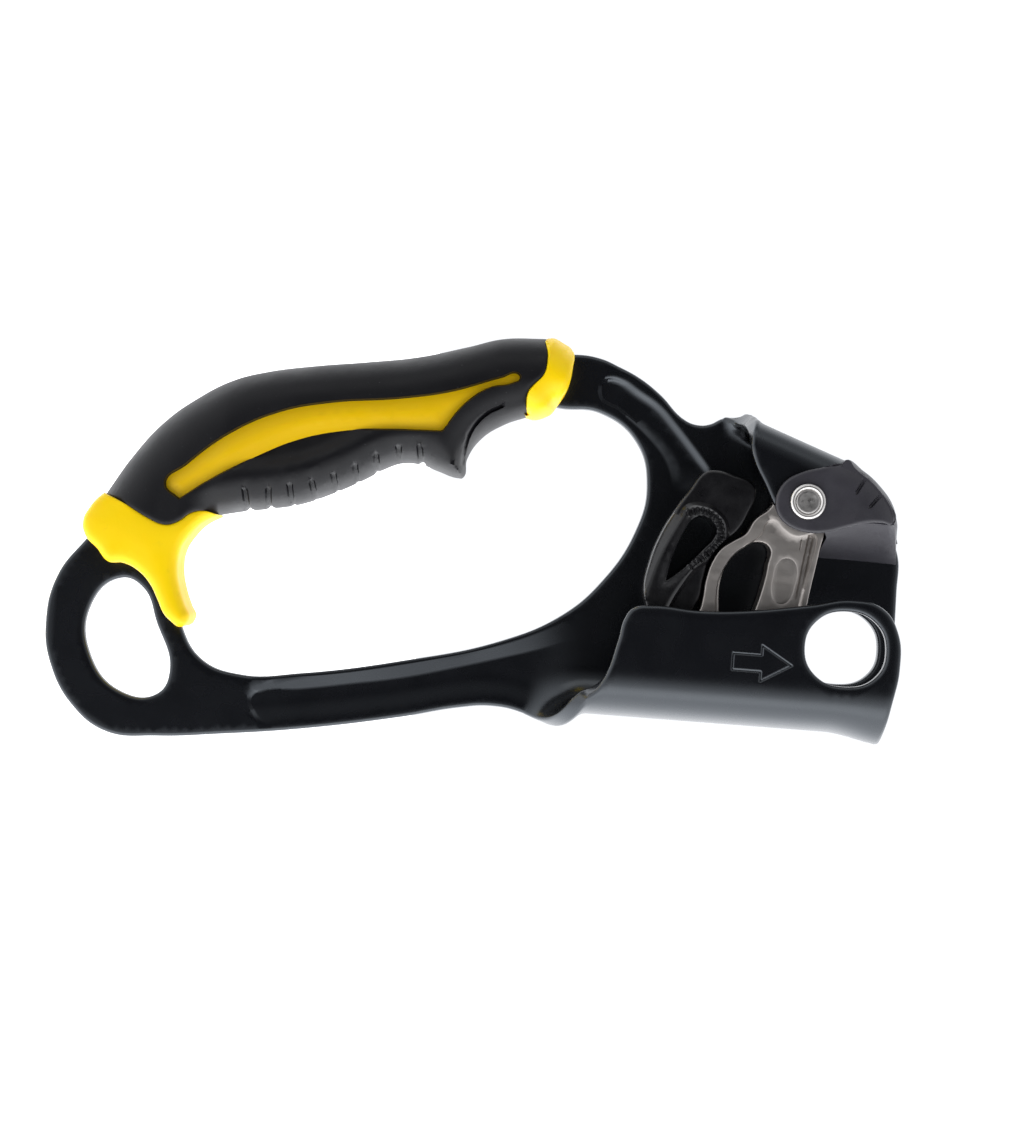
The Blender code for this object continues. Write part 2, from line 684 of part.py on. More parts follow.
def cam_outline():
    """Hub, straight right edge, spiral toothed face, pin lug and curved left edge."""
    hub = [(AXLE.x + HUB_RADIUS * math.cos(a), AXLE.y + HUB_RADIUS * math.sin(a))
           for a in [math.radians(d) for d in (-80, -115, -150, 175, 140, 105, 75, 48)]]
    right = [(-25.2, 3.3), (-12.0, 1.6), (-1.5, 1.4)]
    face = []
    for i in range(2 * TEETH + 1):
        angle = math.radians(-2 + 30.0 * i / (2 * TEETH))
        reach = CAM_REACH * math.exp(CAM_SPIRAL * angle) + (TOOTH_HEIGHT if i % 2 else 0)
        face.append((AXLE.x + reach * math.cos(angle), AXLE.y - reach * math.sin(angle), "corner"))
    lug = [(-1.8, -26.5), (-5.5, -28.9), (-9.0, -29.5), (-12.2, -27.6), (-12.9, -24.6),
           (-13.2, -22.2)]
    left = [(-14.6, -21.1), (-17.0, -20.6), (-21.2, -20.2), (-25.6, -19.0), (-28.4, -17.2),
            (-30.3, -14.6), (-31.8, -12.4), (-35.0, -10.6)]
    return hub + right + face + lug + left


def cam_window():
    return [(-30.3, -9.6), (-28.3, -13.2), (-25.2, -15.8), (-21.4, -17.0), (-17.0, -17.1),
            (-11.0, -15.8), (-8.8, -13.2), (-10.6, -10.7), (-15.1, -9.2), (-19.9, -7.9),
            (-25.5, -7.0), (-29.2, -6.9)]


def build_cam():
    mesh = mesh_from_outline("cam", [cam_outline(), cam_window()], -CAM_HALF_WIDTH, CAM_HALF_WIDTH, 3)
    obj = place(mesh, "cam", PARTS, CAST_STEEL)
    join(obj, rod_mesh("hub", AXLE, 5.2, -HUB_HALF_WIDTH, 0, 32), "cam_hub")
    cut(obj, rod_mesh("spring_space", AXLE, HUB_RADIUS + 0.4, 0.6, 9.0, 32), "cut_spring_space")
    join(obj, rod_mesh("sleeve", AXLE, 4.2, 0.0, HUB_HALF_WIDTH, 32), "cam_sleeve")
    cut(obj, rod_mesh("bore", AXLE, AXLE_RADIUS + CLEARANCE, -9, 9, 32), "cut_bore")
    cut(obj, rod_mesh("fork_front", PIN, 5.9, -9, -3.2, 32), "cut_fork_front")
    cut(obj, rod_mesh("fork_rear", PIN, 5.9, 0.9, 9, 32), "cut_fork_rear")
    cut(obj, rod_mesh("pin_bore", PIN, PIN_RADIUS + CLEARANCE, -9, 9, 24), "cut_pin_bore")
    return obj


def trigger_outline():
    cam_side = [(-44.6, -22.2), (-45.2, -20.0), (-44.4, -15.7), (-42.6, -11.2), (-40.3, -10.8),
                (-36.9, -11.9), (-32.4, -14.2), (-29.2, -17.6), (-25.9, -19.7), (-21.3, -20.8),
                (-17.0, -21.4), (-15.3, -22.3)]
    fork = [(PIN.x + 5.3 * math.cos(a), PIN.y + 5.3 * math.sin(a))
            for a in [math.radians(d) for d in (158, 125, 90, 55, 10, -40, -85)]]
    outer = [(-13.5, -32.3), (-18.0, -33.6), (-24.6, -32.7), (-30.2, -30.9), (-35.8, -28.1),
             (-40.4, -25.2)]
    return cam_side + fork + outer


def finger_hole():
    return [(-34.9, -21.6), (-34.3, -23.9), (-31.7, -25.6), (-26.5, -27.6), (-20.4, -28.9, "corner"),
            (-23.5, -25.3), (-28.3, -21.0), (-30.2, -19.4), (-32.6, -18.9)]


def build_trigger():
    half = TRIGGER_HALF_WIDTH
    mesh = mesh_from_outline("safety_trigger", [trigger_outline(), finger_hole()], -half, half, 3)
    obj = place(mesh, "safety_trigger", PARTS, PLASTIC)
    cut(obj, rod_mesh("fork_slot", PIN, 6.4, -3.5, 3.6, 32), "cut_fork_slot")
    cut(obj, rod_mesh("fork_bore", PIN, PIN_RADIUS + CLEARANCE, -9, 9, 24), "cut_fork_bore")
    return obj


def build_pin():
    half = TRIGGER_HALF_WIDTH - 0.2
    profile = [(0, half), (PIN_RADIUS - 0.2, half), (PIN_RADIUS, half - 0.2),
               (PIN_RADIUS, 0.2 - half), (PIN_RADIUS - 0.2, -half), (0, -half)]
    return turned("trigger_pin", PIN, profile, STEEL, steps=20)


clear_scene()
PARTS = make_collection(COLLECTION_NAME)
CUTTERS = make_collection("cutters")
METAL_DARK = material("anodised_black", (0.02, 0.02, 0.026), 0.38, 0.6)
YELLOW = material("yellow_plastic", (0.98, 0.74, 0.0), 0.35, 0.0)
RUBBER = material("grey_rubber", (0.05, 0.05, 0.055), 0.6, 0.0)
PLASTIC = material("black_plastic", (0.03, 0.03, 0.034), 0.5, 0.0)
STEEL = material("rivet_steel", (0.62, 0.6, 0.58), 0.3, 1.0)
CAST_STEEL = material("cast_steel", (0.42, 0.39, 0.37), 0.35, 1.0)
SPRING_STEEL = material("spring_steel", (0.55, 0.55, 0.56), 0.25, 1.0)

build_frame()
build_grip_core("grip_core_front", front=True)
build_grip_core("grip_core_rear", front=False)
build_grip_rubber()
build_top_cap()
build_axle()
build_tail_ring()
build_cam()
coil("cam_spring", AXLE, radius=5.6, wire=1.1, y_start=1.5, pitch=1.2, turns=3.25,
     start_angle=-0.4, leg=2.8, mat=SPRING_STEEL)
build_trigger()
build_pin()
coil("trigger_spring", PIN, radius=2.6, wire=0.7, y_start=1.5, pitch=0.75, turns=2.25,
     start_angle=1.0, leg=1.6, mat=SPRING_STEEL)
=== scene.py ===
"""Detailed looks for the handled ascender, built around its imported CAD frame.

Outlines are in millimetres in the object's X-Z plane: +Z is the climbing direction, -Y the front.
"""

import math

import bmesh
import bpy
import numpy as np
from mathutils import Matrix, Vector, geometry


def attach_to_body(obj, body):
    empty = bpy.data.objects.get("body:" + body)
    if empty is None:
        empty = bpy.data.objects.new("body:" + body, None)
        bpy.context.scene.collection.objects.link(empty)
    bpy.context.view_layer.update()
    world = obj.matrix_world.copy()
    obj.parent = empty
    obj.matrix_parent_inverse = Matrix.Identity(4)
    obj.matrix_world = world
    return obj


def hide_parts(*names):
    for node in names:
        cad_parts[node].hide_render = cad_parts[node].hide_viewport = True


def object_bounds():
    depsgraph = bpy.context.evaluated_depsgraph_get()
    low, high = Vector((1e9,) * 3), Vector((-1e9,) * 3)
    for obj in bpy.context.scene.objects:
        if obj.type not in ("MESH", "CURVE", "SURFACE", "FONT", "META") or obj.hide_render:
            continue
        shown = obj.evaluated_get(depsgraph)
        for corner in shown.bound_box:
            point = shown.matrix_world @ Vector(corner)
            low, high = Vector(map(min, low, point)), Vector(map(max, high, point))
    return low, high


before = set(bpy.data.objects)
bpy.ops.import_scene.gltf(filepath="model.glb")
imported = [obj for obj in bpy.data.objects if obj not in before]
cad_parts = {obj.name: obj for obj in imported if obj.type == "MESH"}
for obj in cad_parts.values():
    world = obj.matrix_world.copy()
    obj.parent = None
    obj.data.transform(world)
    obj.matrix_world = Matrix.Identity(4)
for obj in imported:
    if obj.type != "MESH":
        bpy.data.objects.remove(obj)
cad_low, cad_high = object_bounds()

MM = 0.001
PLATE = 3.5        # thickness of the folded plate
WALL_MID = 8.25    # y of the plate's middle surface, and half the width between the channel's walls
BACK_FACE = 10.0   # y of the plate's rear face
CLEARANCE = 0.3
AXLE = Vector((-39.7, 0.0))
PIN = Vector((-8.5, -25.0))
AXLE_BORE = 3.3
PIN_BORE = 1.8
HALF_GAP = 0.1     # from the grip's middle plane to the inner face of a half


# ---------------------------------------------------------------- paths in the X-Z plane

def path(points, closed=True, step=0.8, resolution=12):
    """A smooth path through the points as an array; a point with a third value is a corner."""
    curve = bpy.data.curves.new("path", "CURVE")
    curve.dimensions = "2D"
    curve.fill_mode = "NONE"
    curve.resolution_u = resolution
    spline = curve.splines.new("BEZIER")
    spline.bezier_points.add(len(points) - 1)
    spline.use_cyclic_u = closed
    for knot, point in zip(spline.bezier_points, points):
        knot.co = (point[0], point[1], 0.0)
        kind = "VECTOR" if len(point) == 3 else "AUTO"
        knot.handle_left_type = kind
        knot.handle_right_type = kind
    holder = bpy.data.objects.new("path", curve)
    bpy.context.scene.collection.objects.link(holder)
    depsgraph = bpy.context.evaluated_depsgraph_get()
    mesh = bpy.data.meshes.new_from_object(holder.evaluated_get(depsgraph))
    found = np.array([v.co[:2] for v in mesh.vertices])
    bpy.data.objects.remove(holder, do_unlink=True)
    bpy.data.meshes.remove(mesh)
    bpy.data.curves.remove(curve)
    return respace(found, closed, step)


def open_path(points, step=0.8):
    return path(points, closed=False, step=step)


def respace(points, closed, step):
    """The same path with no two points much closer than the step, nor much further apart."""
    kept = [points[0]]
    for point in points[1:]:
        if np.linalg.norm(point - kept[-1]) > 0.45 * step:
            kept.append(point)
    if closed and np.linalg.norm(kept[-1] - kept[0]) < 0.45 * step:
        kept.pop()
    ends = kept[1:] + [kept[0]] if closed else kept[1:]
    dense = []
    for a, b in zip(kept, ends):
        pieces = max(1, round(np.linalg.norm(b - a) / step))
        dense += [a + (b - a) * i / pieces for i in range(pieces)]
    if not closed:
        dense.append(kept[-1])
    return np.array(dense)


def signed_area(loop):
    x, z = loop[:, 0], loop[:, 1]
    return 0.5 * np.sum(x * np.roll(z, -1) - np.roll(x, -1) * z)


def turned_way(loop, anticlockwise):
    return loop if (signed_area(loop) > 0) == anticlockwise else loop[::-1]


def inset(loop, distance):
    """A closed path moved to its left by a distance."""
    before = loop - np.roll(loop, 1, axis=0)
    after = np.roll(loop, -1, axis=0) - loop
    before /= np.linalg.norm(before, axis=1)[:, None] + 1e-9
    after /= np.linalg.norm(after, axis=1)[:, None] + 1e-9
    along = before + after
    along /= np.linalg.norm(along, axis=1)[:, None] + 1e-9
    left = np.stack([-along[:, 1], along[:, 0]], axis=1)
    stretch = 1 / np.maximum(0.5, np.sum(along * after, axis=1))
    return loop + left * (distance * stretch)[:, None]


def distance_to(points, line, closed=False):
    """Distance from each point to a path."""
    a = line if closed else line[:-1]
    b = np.roll(line, -1, axis=0) if closed else line[1:]
    best = np.full(len(points), 1e9)
    run = b - a
    length = np.maximum(np.sum(run * run, axis=1), 1e-12)
    for start in range(0, len(points), 2000):
        part = points[start:start + 2000]
        offset = part[:, None, :] - a[None]
        share = np.clip(np.sum(offset * run[None], axis=2) / length[None], 0, 1)
        gap = offset - share[:, :, None] * run[None]
        best[start:start + 2000] = np.sqrt(np.min(np.sum(gap * gap, axis=2), axis=1))
    return best


def inside(points, loops):
    """Even-odd test of each point against closed paths."""
    odd = np.zeros(len(points), bool)
    for loop in loops:
        x0, z0 = loop[:, 0], loop[:, 1]
        x1, z1 = np.roll(x0, -1), np.roll(z0, -1)
        for start in range(0, len(points), 2000):
            px = points[start:start + 2000, 0][:, None]
            pz = points[start:start + 2000, 1][:, None]
            crosses = (z0 > pz) != (z1 > pz)
            rise = np.where(z1 == z0, 1e-12, z1 - z0)
            at = x0 + (pz - z0) / rise * (x1 - x0)
            odd[start:start + 2000] ^= (np.sum(crosses & (px < at), axis=1) % 2).astype(bool)
    return odd


def depth_inside(points, loop):
    """How far inside a closed path each point lies, and 0 outside it."""
    return np.where(inside(points, [loop]), distance_to(points, loop, closed=True), 0.0)


def smooth_ramp(values):
    t = np.clip(values, 0.0, 1.0)
    return t * t * (3 - 2 * t)


def rim_drop(distance, radius):
    """How far a rounded rim lies below the face."""
    short = np.clip(radius - distance, 0.0, radius)
    return radius - np.sqrt(np.maximum(radius * radius - short * short, 0.0))


def edge_round(distance, width, power=2.3):
    """Share of the full depth at a distance from the silhouette of a rounded body."""
    return (1 - (1 - np.clip(distance / width, 0, 1)) ** power) ** (1 / power)


def stroke(points, line, half_width, closed=False):
    """1 on a drawn line, falling to 0 at its edges."""
    return smooth_ramp(1.6 - 1.6 * distance_to(points, line, closed) / half_width)


def arc(centre, radius, degrees):
    turn = np.radians(list(degrees))
    return np.stack([centre[0] + radius * np.cos(turn), centre[1] + radius * np.sin(turn)], axis=1)


def directions(line):
    run = np.gradient(line, axis=0)
    return run / np.linalg.norm(run, axis=1)[:, None]


def beside(line, offsets, closed=False):
    """Copies of a path at both sides of it."""
    copies = []
    for offset in offsets:
        for sign in (-1, 1):
            if closed:
                copies.append(np.vstack([inset(line, sign * offset), inset(line, sign * offset)[:1]]))
            else:
                run = directions(line)
                copies.append(line + np.stack([-run[:, 1], run[:, 0]], axis=1) * sign * offset)
    return copies


# ---------------------------------------------------------------- meshes from paths

def triangles_of(loops, rings, spacing, lines=(), extra=()):
    """Points and triangles that fill the loops, following their inset rings and the lines."""
    coords = []
    edges = []

    def add(points, closed):
        first = len(coords)
        coords.extend(map(tuple, points))
        edges.extend((first + i, first + i + 1) for i in range(len(points) - 1))
        if closed:
            edges.append((first + len(points) - 1, first))

    for loop in loops:
        add(loop, True)
        for distance in rings:
            add(inset(loop, distance), True)
    for line in lines:
        add(line, False)
    low = loops[0].min(axis=0)
    high = loops[0].max(axis=0)
    rows = np.arange(low[1], high[1], spacing * 0.866)
    columns = np.arange(low[0], high[0], spacing)
    grid = np.array([(x + (i % 2) * spacing / 2, z) for i, z in enumerate(rows) for x in columns])
    grid = grid[inside(grid, loops)]
    clear = np.full(len(grid), 1e9)
    for loop in loops:
        clear = np.minimum(clear, distance_to(grid, loop, closed=True) - max(rings, default=0))
    for line in lines:
        clear = np.minimum(clear, distance_to(grid, line))
    grid = grid[clear > 0.45 * spacing]
    coords.extend(map(tuple, grid))
    for points in extra:
        coords.extend(map(tuple, points))
    found = geometry.delaunay_2d_cdt([Vector(c) for c in coords], edges, [], 0, 1e-5)
    verts = np.array([v[:] for v in found[0]])
    faces = np.array([f for f in found[2] if len(f) == 3])
    middle = verts[faces].mean(axis=1)
    faces = faces[inside(middle, loops)]
    used = np.unique(faces)
    renumber = np.full(len(verts), -1)
    renumber[used] = np.arange(len(used))
    return verts[used], renumber[faces]


def flat_place(points, offset):
    """An upright plate whose offset is its y, negative to the front."""
    return np.stack([points[:, 0], -offset, points[:, 1]], axis=1)


def level(offset):
    """A face at one offset everywhere."""
    return lambda points, edge: np.full(len(points), offset)


def plate_solid(name, loops, rings, spacing, front, rear, lines=(), extra=(), place=flat_place):
    """A closed plate: front and rear give the offsets towards the front at points and edge distances."""
    loops = [turned_way(loop, i == 0) for i, loop in enumerate(loops)]
    points, faces = triangles_of(loops, rings, spacing, lines, extra)
    edge = np.min([distance_to(points, loop, closed=True) for loop in loops], axis=0)
    top = place(points, front(points, edge))
    bottom = place(points, rear(points, edge))
    count = len(points)
    sides = {}
    for a, b, c in faces:
        for pair in ((a, b), (b, c), (c, a)):
            sides[pair] = sides.get(pair, 0) + 1
    rim = [(a, b) for a, b in sides if (b, a) not in sides]
    polygons = [tuple(f) for f in faces] + [tuple(f[::-1] + count) for f in faces]
    polygons += [(b, a, a + count, b + count) for a, b in rim]
    mesh = bpy.data.meshes.new(name)
    mesh.from_pydata(np.vstack([top, bottom]) * MM, [], [tuple(int(i) for i in p) for p in polygons])
    return finish_piece(mesh, name)


def finish_piece(mesh, name, angle=42, weld=False):
    work = bmesh.new()
    work.from_mesh(mesh)
    if weld:
        bmesh.ops.remove_doubles(work, verts=work.verts, dist=1e-7)
    bmesh.ops.recalc_face_normals(work, faces=work.faces)
    work.to_mesh(mesh)
    work.free()
    mesh.shade_smooth()
    mesh.set_sharp_from_angle(angle=math.radians(angle))
    obj = bpy.data.objects.new(name, mesh)
    bpy.context.scene.collection.objects.link(obj)
    return obj


def loft_solid(name, rings, angle=42, weld=False):
    """A closed body through rings of equal counts, each an array of 3-D points in millimetres."""
    count = len(rings[0])
    faces = []
    for first in range(0, (len(rings) - 1) * count, count):
        for i in range(count):
            j = (i + 1) % count
            faces.append((first + i, first + j, first + count + j, first + count + i))
    faces.append(tuple(range(count)))
    faces.append(tuple(range((len(rings) - 1) * count, len(rings) * count))[::-1])
    mesh = bpy.data.meshes.new(name)
    mesh.from_pydata(np.vstack(rings) * MM, [], faces)
    return finish_piece(mesh, name, angle, weld)


def turned_solid(name, centre, profile, steps=96):
    """A solid of revolution along Y; profile is (radius, y) from one end to the other."""
    turn = np.linspace(0, 2 * math.pi, steps, endpoint=False)
    rings = [np.stack([centre[0] + radius * np.cos(turn), np.full(steps, y),
                       centre[1] + radius * np.sin(turn)], axis=1) for radius, y in profile]
    return loft_solid(name, rings, angle=50, weld=True)


def rod_tool(centre, radius, y_low, y_high):
    """A hidden rod along Y that cuts or joins other pieces."""
    work = bmesh.new()
    bmesh.ops.create_cone(work, cap_ends=True, segments=64, radius1=radius * MM, radius2=radius * MM,
                          depth=(y_high - y_low) * MM)
    turn = Matrix.Rotation(math.pi / 2, 4, "X")
    shift = Matrix.Translation((centre[0] * MM, (y_low + y_high) / 2 * MM, centre[1] * MM))
    bmesh.ops.transform(work, matrix=shift @ turn, verts=work.verts)
    bmesh.ops.recalc_face_normals(work, faces=work.faces)
    mesh = bpy.data.meshes.new("rod")
    work.to_mesh(mesh)
    work.free()
    return mesh


def combine(obj, mesh, operation):
    """Cut a mesh from a piece, or join it, for good."""
    tool = bpy.data.objects.new("tool", mesh)
    bpy.context.scene.collection.objects.link(tool)
    mod = obj.modifiers.new("combine", "BOOLEAN")
    mod.operation = operation
    mod.solver = "EXACT"
    mod.object = tool
    depsgraph = bpy.context.evaluated_depsgraph_get()
    made = bpy.data.meshes.new_from_object(obj.evaluated_get(depsgraph))
    obj.modifiers.remove(mod)
    obj.data = made
    bpy.data.objects.remove(tool, do_unlink=True)
    made.shade_smooth()
    made.set_sharp_from_angle(angle=math.radians(35))


# ---------------------------------------------------------------- surface finishes

def add_node(tree, kind, output, inputs, **settings):
    """The named output of a new node, whose inputs are numbers or other nodes' outputs."""
    made = tree.nodes.new(kind)
    for key, value in settings.items():
        setattr(made, key, value)
    for key, value in inputs.items():
        if isinstance(value, bpy.types.NodeSocket):
            tree.links.new(value, made.inputs[key])
        else:
            made.inputs[key].default_value = value
    return made.outputs[output]


def ranged(tree, value, low, high, to_low, to_high, kind="LINEAR"):
    limits = {"Value": value, "From Min": low, "From Max": high, "To Min": to_low, "To Max": to_high}
    return add_node(tree, "ShaderNodeMapRange", "Result", limits, interpolation_type=kind)


def material(name, colour, roughness, speckles=(), varied=None, bumps=(), metallic=0.0, brushed=0.0,
             **values):
    """A Principled material whose colour, roughness and bump come from noise.

    A speckle is noise scale, detail, low, high, amount and colour; varied is noise scale, detail and
    the two roughnesses; a bump is noise scale, detail, strength and distance. The last value of varied
    and of a bump may stretch the noise. The other values are sockets of the shader.
    """
    mat = bpy.data.materials.new(name)
    mat.use_nodes = True
    tree = mat.node_tree
    inputs = tree.nodes["Principled BSDF"].inputs
    place = add_node(tree, "ShaderNodeTexCoord", "Object", {})

    def noise(scale, detail, stretch=None):
        at = place
        if stretch:
            at = add_node(tree, "ShaderNodeMapping", "Vector", {"Scale": stretch, "Vector": place})
        return add_node(tree, "ShaderNodeTexNoise", "Fac",
                        {"Scale": scale, "Detail": detail, "Roughness": 0.55, "Vector": at})

    for key, value in values.items():
        inputs[key.replace("_", " ")].default_value = value
    inputs["Base Color"].default_value = (*colour, 1.0)
    inputs["Roughness"].default_value = roughness
    inputs["Metallic"].default_value = metallic
    mixed = (*colour, 1.0)
    for scale, detail, low, high, amount, other in speckles:
        share = ranged(tree, noise(scale, detail), low, high, 0.0, amount)
        mixed = add_node(tree, "ShaderNodeMix", "Result", {"Factor": share, "A": mixed, "B": (*other, 1.0)},
                         data_type="RGBA")
        tree.links.new(mixed, inputs["Base Color"])
    if varied:
        scale, detail, low, high, *stretch = varied
        rough = ranged(tree, noise(scale, detail, *stretch), 0.3, 0.7, low, high)
        tree.links.new(rough, inputs["Roughness"])
    normal = {}
    for scale, detail, strength, distance, *stretch in bumps:
        shape = {"Strength": strength, "Distance": distance, "Height": noise(scale, detail, *stretch)}
        normal = {"Normal": add_node(tree, "ShaderNodeBump", "Normal", {**shape, **normal})}
        tree.links.new(normal["Normal"], inputs["Normal"])
    if brushed:
        inputs["Anisotropic"].default_value = brushed
        turned = add_node(tree, "ShaderNodeTangent", "Tangent", {}, direction_type="RADIAL", axis="Y")
        tree.links.new(turned, inputs["Tangent"])
    return mat


def scaled(colour, amount):
    return tuple(amount * c for c in colour)


def yellow_finish(name, colour, dark):
    return material(name, colour, 0.38, IOR=1.46, Specular_IOR_Level=0.3,
                    Subsurface_Weight=0.06, Subsurface_Scale=0.0015,
                    speckles=[(45.0, 3.0, 0.35, 0.75, 0.35, dark),
                              (420.0, 4.0, 0.62, 0.8, 0.18, (0.55, 0.36, 0.01))],
                    varied=(300.0, 3.0, 0.33, 0.46),
                    bumps=[(1500.0, 3.0, 0.12, 0.0001), (110.0, 2.0, 0.05, 0.0006)])


def plastic_finish(name, colour, roughness):
    return material(name, colour, roughness, IOR=1.5,
                    speckles=[(90.0, 4.0, 0.4, 0.75, 0.5, scaled(colour, 1.7)),
                              (1900.0, 1.0, 0.74, 0.82, 0.4, (0.06, 0.06, 0.065))],
                    varied=(260.0, 4.0, roughness - 0.05, roughness + 0.09),
                    bumps=[(1900.0, 3.0, 0.2, 0.00012)])


def steel_finish(name, colour, roughness, stretch, brushed=0.0):
    return material(name, colour, roughness, metallic=1.0, brushed=brushed,
                    speckles=[(300.0, 4.0, 0.45, 0.8, 0.25, scaled(colour, 0.7))],
                    varied=(900.0, 3.0, roughness - 0.05, roughness + 0.07, stretch),
                    bumps=[(1500.0, 2.0, 0.02, 0.00004, stretch)])


ANODISED = material("anodised_black", (0.0012, 0.0012, 0.0027), 0.27,
                    IOR=1.65, Specular_Tint=(0.86, 0.93, 1.0, 1.0),
                    speckles=[(70.0, 4.0, 0.35, 0.75, 0.5, (0.0024, 0.0023, 0.0044)),
                              (2600.0, 2.0, 0.68, 0.8, 0.3, (0.018, 0.017, 0.021))],
                    varied=(120.0, 2.0, 0.255, 0.285),
                    bumps=[(2200.0, 2.0, 0.05, 0.0001), (240.0, 3.0, 0.025, 0.0004)])
RUBBER = material("grip_rubber", (0.005, 0.005, 0.0065), 0.44, IOR=1.5, Specular_IOR_Level=0.22,
                  speckles=[(60.0, 4.0, 0.35, 0.75, 0.6, (0.008, 0.008, 0.0095)),
                            (1700.0, 1.0, 0.76, 0.82, 0.5, (0.1, 0.1, 0.105))],
                  varied=(140.0, 4.0, 0.38, 0.5),
                  bumps=[(2600.0, 2.0, 0.22, 0.00012), (260.0, 3.0, 0.06, 0.0005)])
CAST = material("cast_steel", (0.38, 0.355, 0.335), 0.46, metallic=1.0,
                speckles=[(160.0, 5.0, 0.4, 0.75, 0.5, (0.3, 0.272, 0.25)),
                          (1400.0, 3.0, 0.62, 0.8, 0.3, (0.46, 0.44, 0.42))],
                varied=(420.0, 5.0, 0.4, 0.54, (1.0, 1.0, 0.2)),
                bumps=[(1100.0, 4.0, 0.16, 0.00014)])
YELLOW = yellow_finish("yellow_plastic", (1.0, 0.68, 0.0), (0.95, 0.61, 0.0))
# The inlay is the same yellow plastic as the guards and collars; its darker yellow is painted shade for the
# sunken window.
YELLOW_IN_PAINTED_SHADE = yellow_finish("yellow_inlay_painted_shade", (0.8, 0.5, 0.0), (0.72, 0.43, 0.0))
CAP_PLASTIC = plastic_finish("cap_plastic", (0.026, 0.0245, 0.031), 0.42)
TRIGGER_PLASTIC = plastic_finish("trigger_plastic", (0.0035, 0.0033, 0.0045), 0.3)
RIVET = steel_finish("rivet_steel", (0.62, 0.6, 0.58), 0.3, (1.0, 1.0, 1.0), brushed=0.7)
SPRING = steel_finish("spring_steel", (0.5, 0.5, 0.51), 0.25, (1.0, 0.3, 1.0))


def attach(obj, body, mat, slot, *nodes):
    """Give a piece its finish, its body and the CAD nodes it stands for."""
    obj.data.materials.clear()
    obj.data.materials.append(mat)
    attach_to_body(obj, body)
    if nodes:
        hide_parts(*nodes)
    return obj


# ---------------------------------------------------------------- the folded plate

HOUSING_START = np.array((-52.3, -16.0))
HOUSING_ALONG = np.array((0.339, 0.941)) / math.hypot(0.339, 0.941)
HOUSING_OUT = np.array((-HOUSING_ALONG[1], HOUSING_ALONG[0]))
HOUSING_BEND = 3.75
HOUSING_SIDE = 2 * (WALL_MID - HOUSING_BEND)
HOUSING_ARC = HOUSING_BEND * math.pi / 2
HOUSING_TURN = 2 * HOUSING_ARC + HOUSING_SIDE
PLATE_RIM = 0.8
HOUSING_FOLD_START = -4.1   # where the flat bar starts to rise into the housing
HOUSING_FOLD_RUN = 4.9
CHANNEL_START = -58.0       # z where the lower bar starts to roll into the channel
CHANNEL_RUN = 14.0
LOWER_GROOVE_DEPTH = 1.0
UPPER_GROOVE_DEPTH = 0.9
UPPER_GROOVE_TIP = np.array((-61.8, -46.8))
ARROW_DEPTH = 0.2


def channel_flat(x, z):
    return (math.pi * WALL_MID - x, z)


def housing_flat(along, inward):
    point = HOUSING_START + HOUSING_ALONG * along + HOUSING_OUT * (HOUSING_TURN + inward)
    return (point[0], point[1])


def plate_outline():
    top_edge = [(-22.0, 22.9), (-30.5, 22.3), (-37.0, 18.0), (-41.6, 12.6)]
    flange = [housing_flat(24.2, -20.8), housing_flat(24.4, -9.0), housing_flat(24.6, 0.5),
              housing_flat(24.6, 7.0), housing_flat(22.6, 11.2), housing_flat(18.8, 12.3),
              housing_flat(14.8, 10.9), housing_flat(9.3, 6.4), housing_flat(5.3, 2.8),
              housing_flat(2.6, -1.5), housing_flat(1.2, -8.0), housing_flat(0.0, -13.6)]
    upper_bar = [(-57.0, -18.9), (-55.7, -21.2), (-55.3, -23.6), (-56.2, -26.8), (-61.5, -32.8),
                 (-64.7, -37.5), (-66.8, -42.1), (-68.4, -46.6), (-68.8, -52.4)]
    spine = [(-66.5, -64.0), (-62.0, -76.0), (-59.0, -88.0), (-57.0, -101.0), (-54.5, -115.0),
             (-50.0, -128.0), (-42.0, -139.5), (-30.5, -149.5)]
    loop = [(-20.6, -156.6), (-11.3, -162.9), (-0.7, -164.7), (8.1, -163.1), (17.4, -157.3),
            (22.5, -149.4), (22.6, -138.3)]
    lower_bar = [(21.1, -124.4), (18.6, -106.6), (14.3, -84.7), (11.2, -72.0), (10.3, -65.0),
                 (11.2, -58.2), (14.0, -52.0), (18.6, -46.4)]
    wall = [channel_flat(2.8, -41.6), channel_flat(-6.8, -38.4), channel_flat(-11.2, -37.5),
            channel_flat(-13.9, -35.7), channel_flat(-14.8, -31.5), channel_flat(-14.5, -21.3),
            channel_flat(-15.1, -12.6), channel_flat(-17.5, 2.4), channel_flat(-19.3, 11.5),
            channel_flat(-18.0, 18.2), channel_flat(-13.0, 21.9), channel_flat(-5.0, 22.9)]
    mouth = [(22.0, 21.6), (13.0, 20.6), (4.0, 22.3)]
    return top_edge + flange + upper_bar + spine + loop + lower_bar + wall + mouth


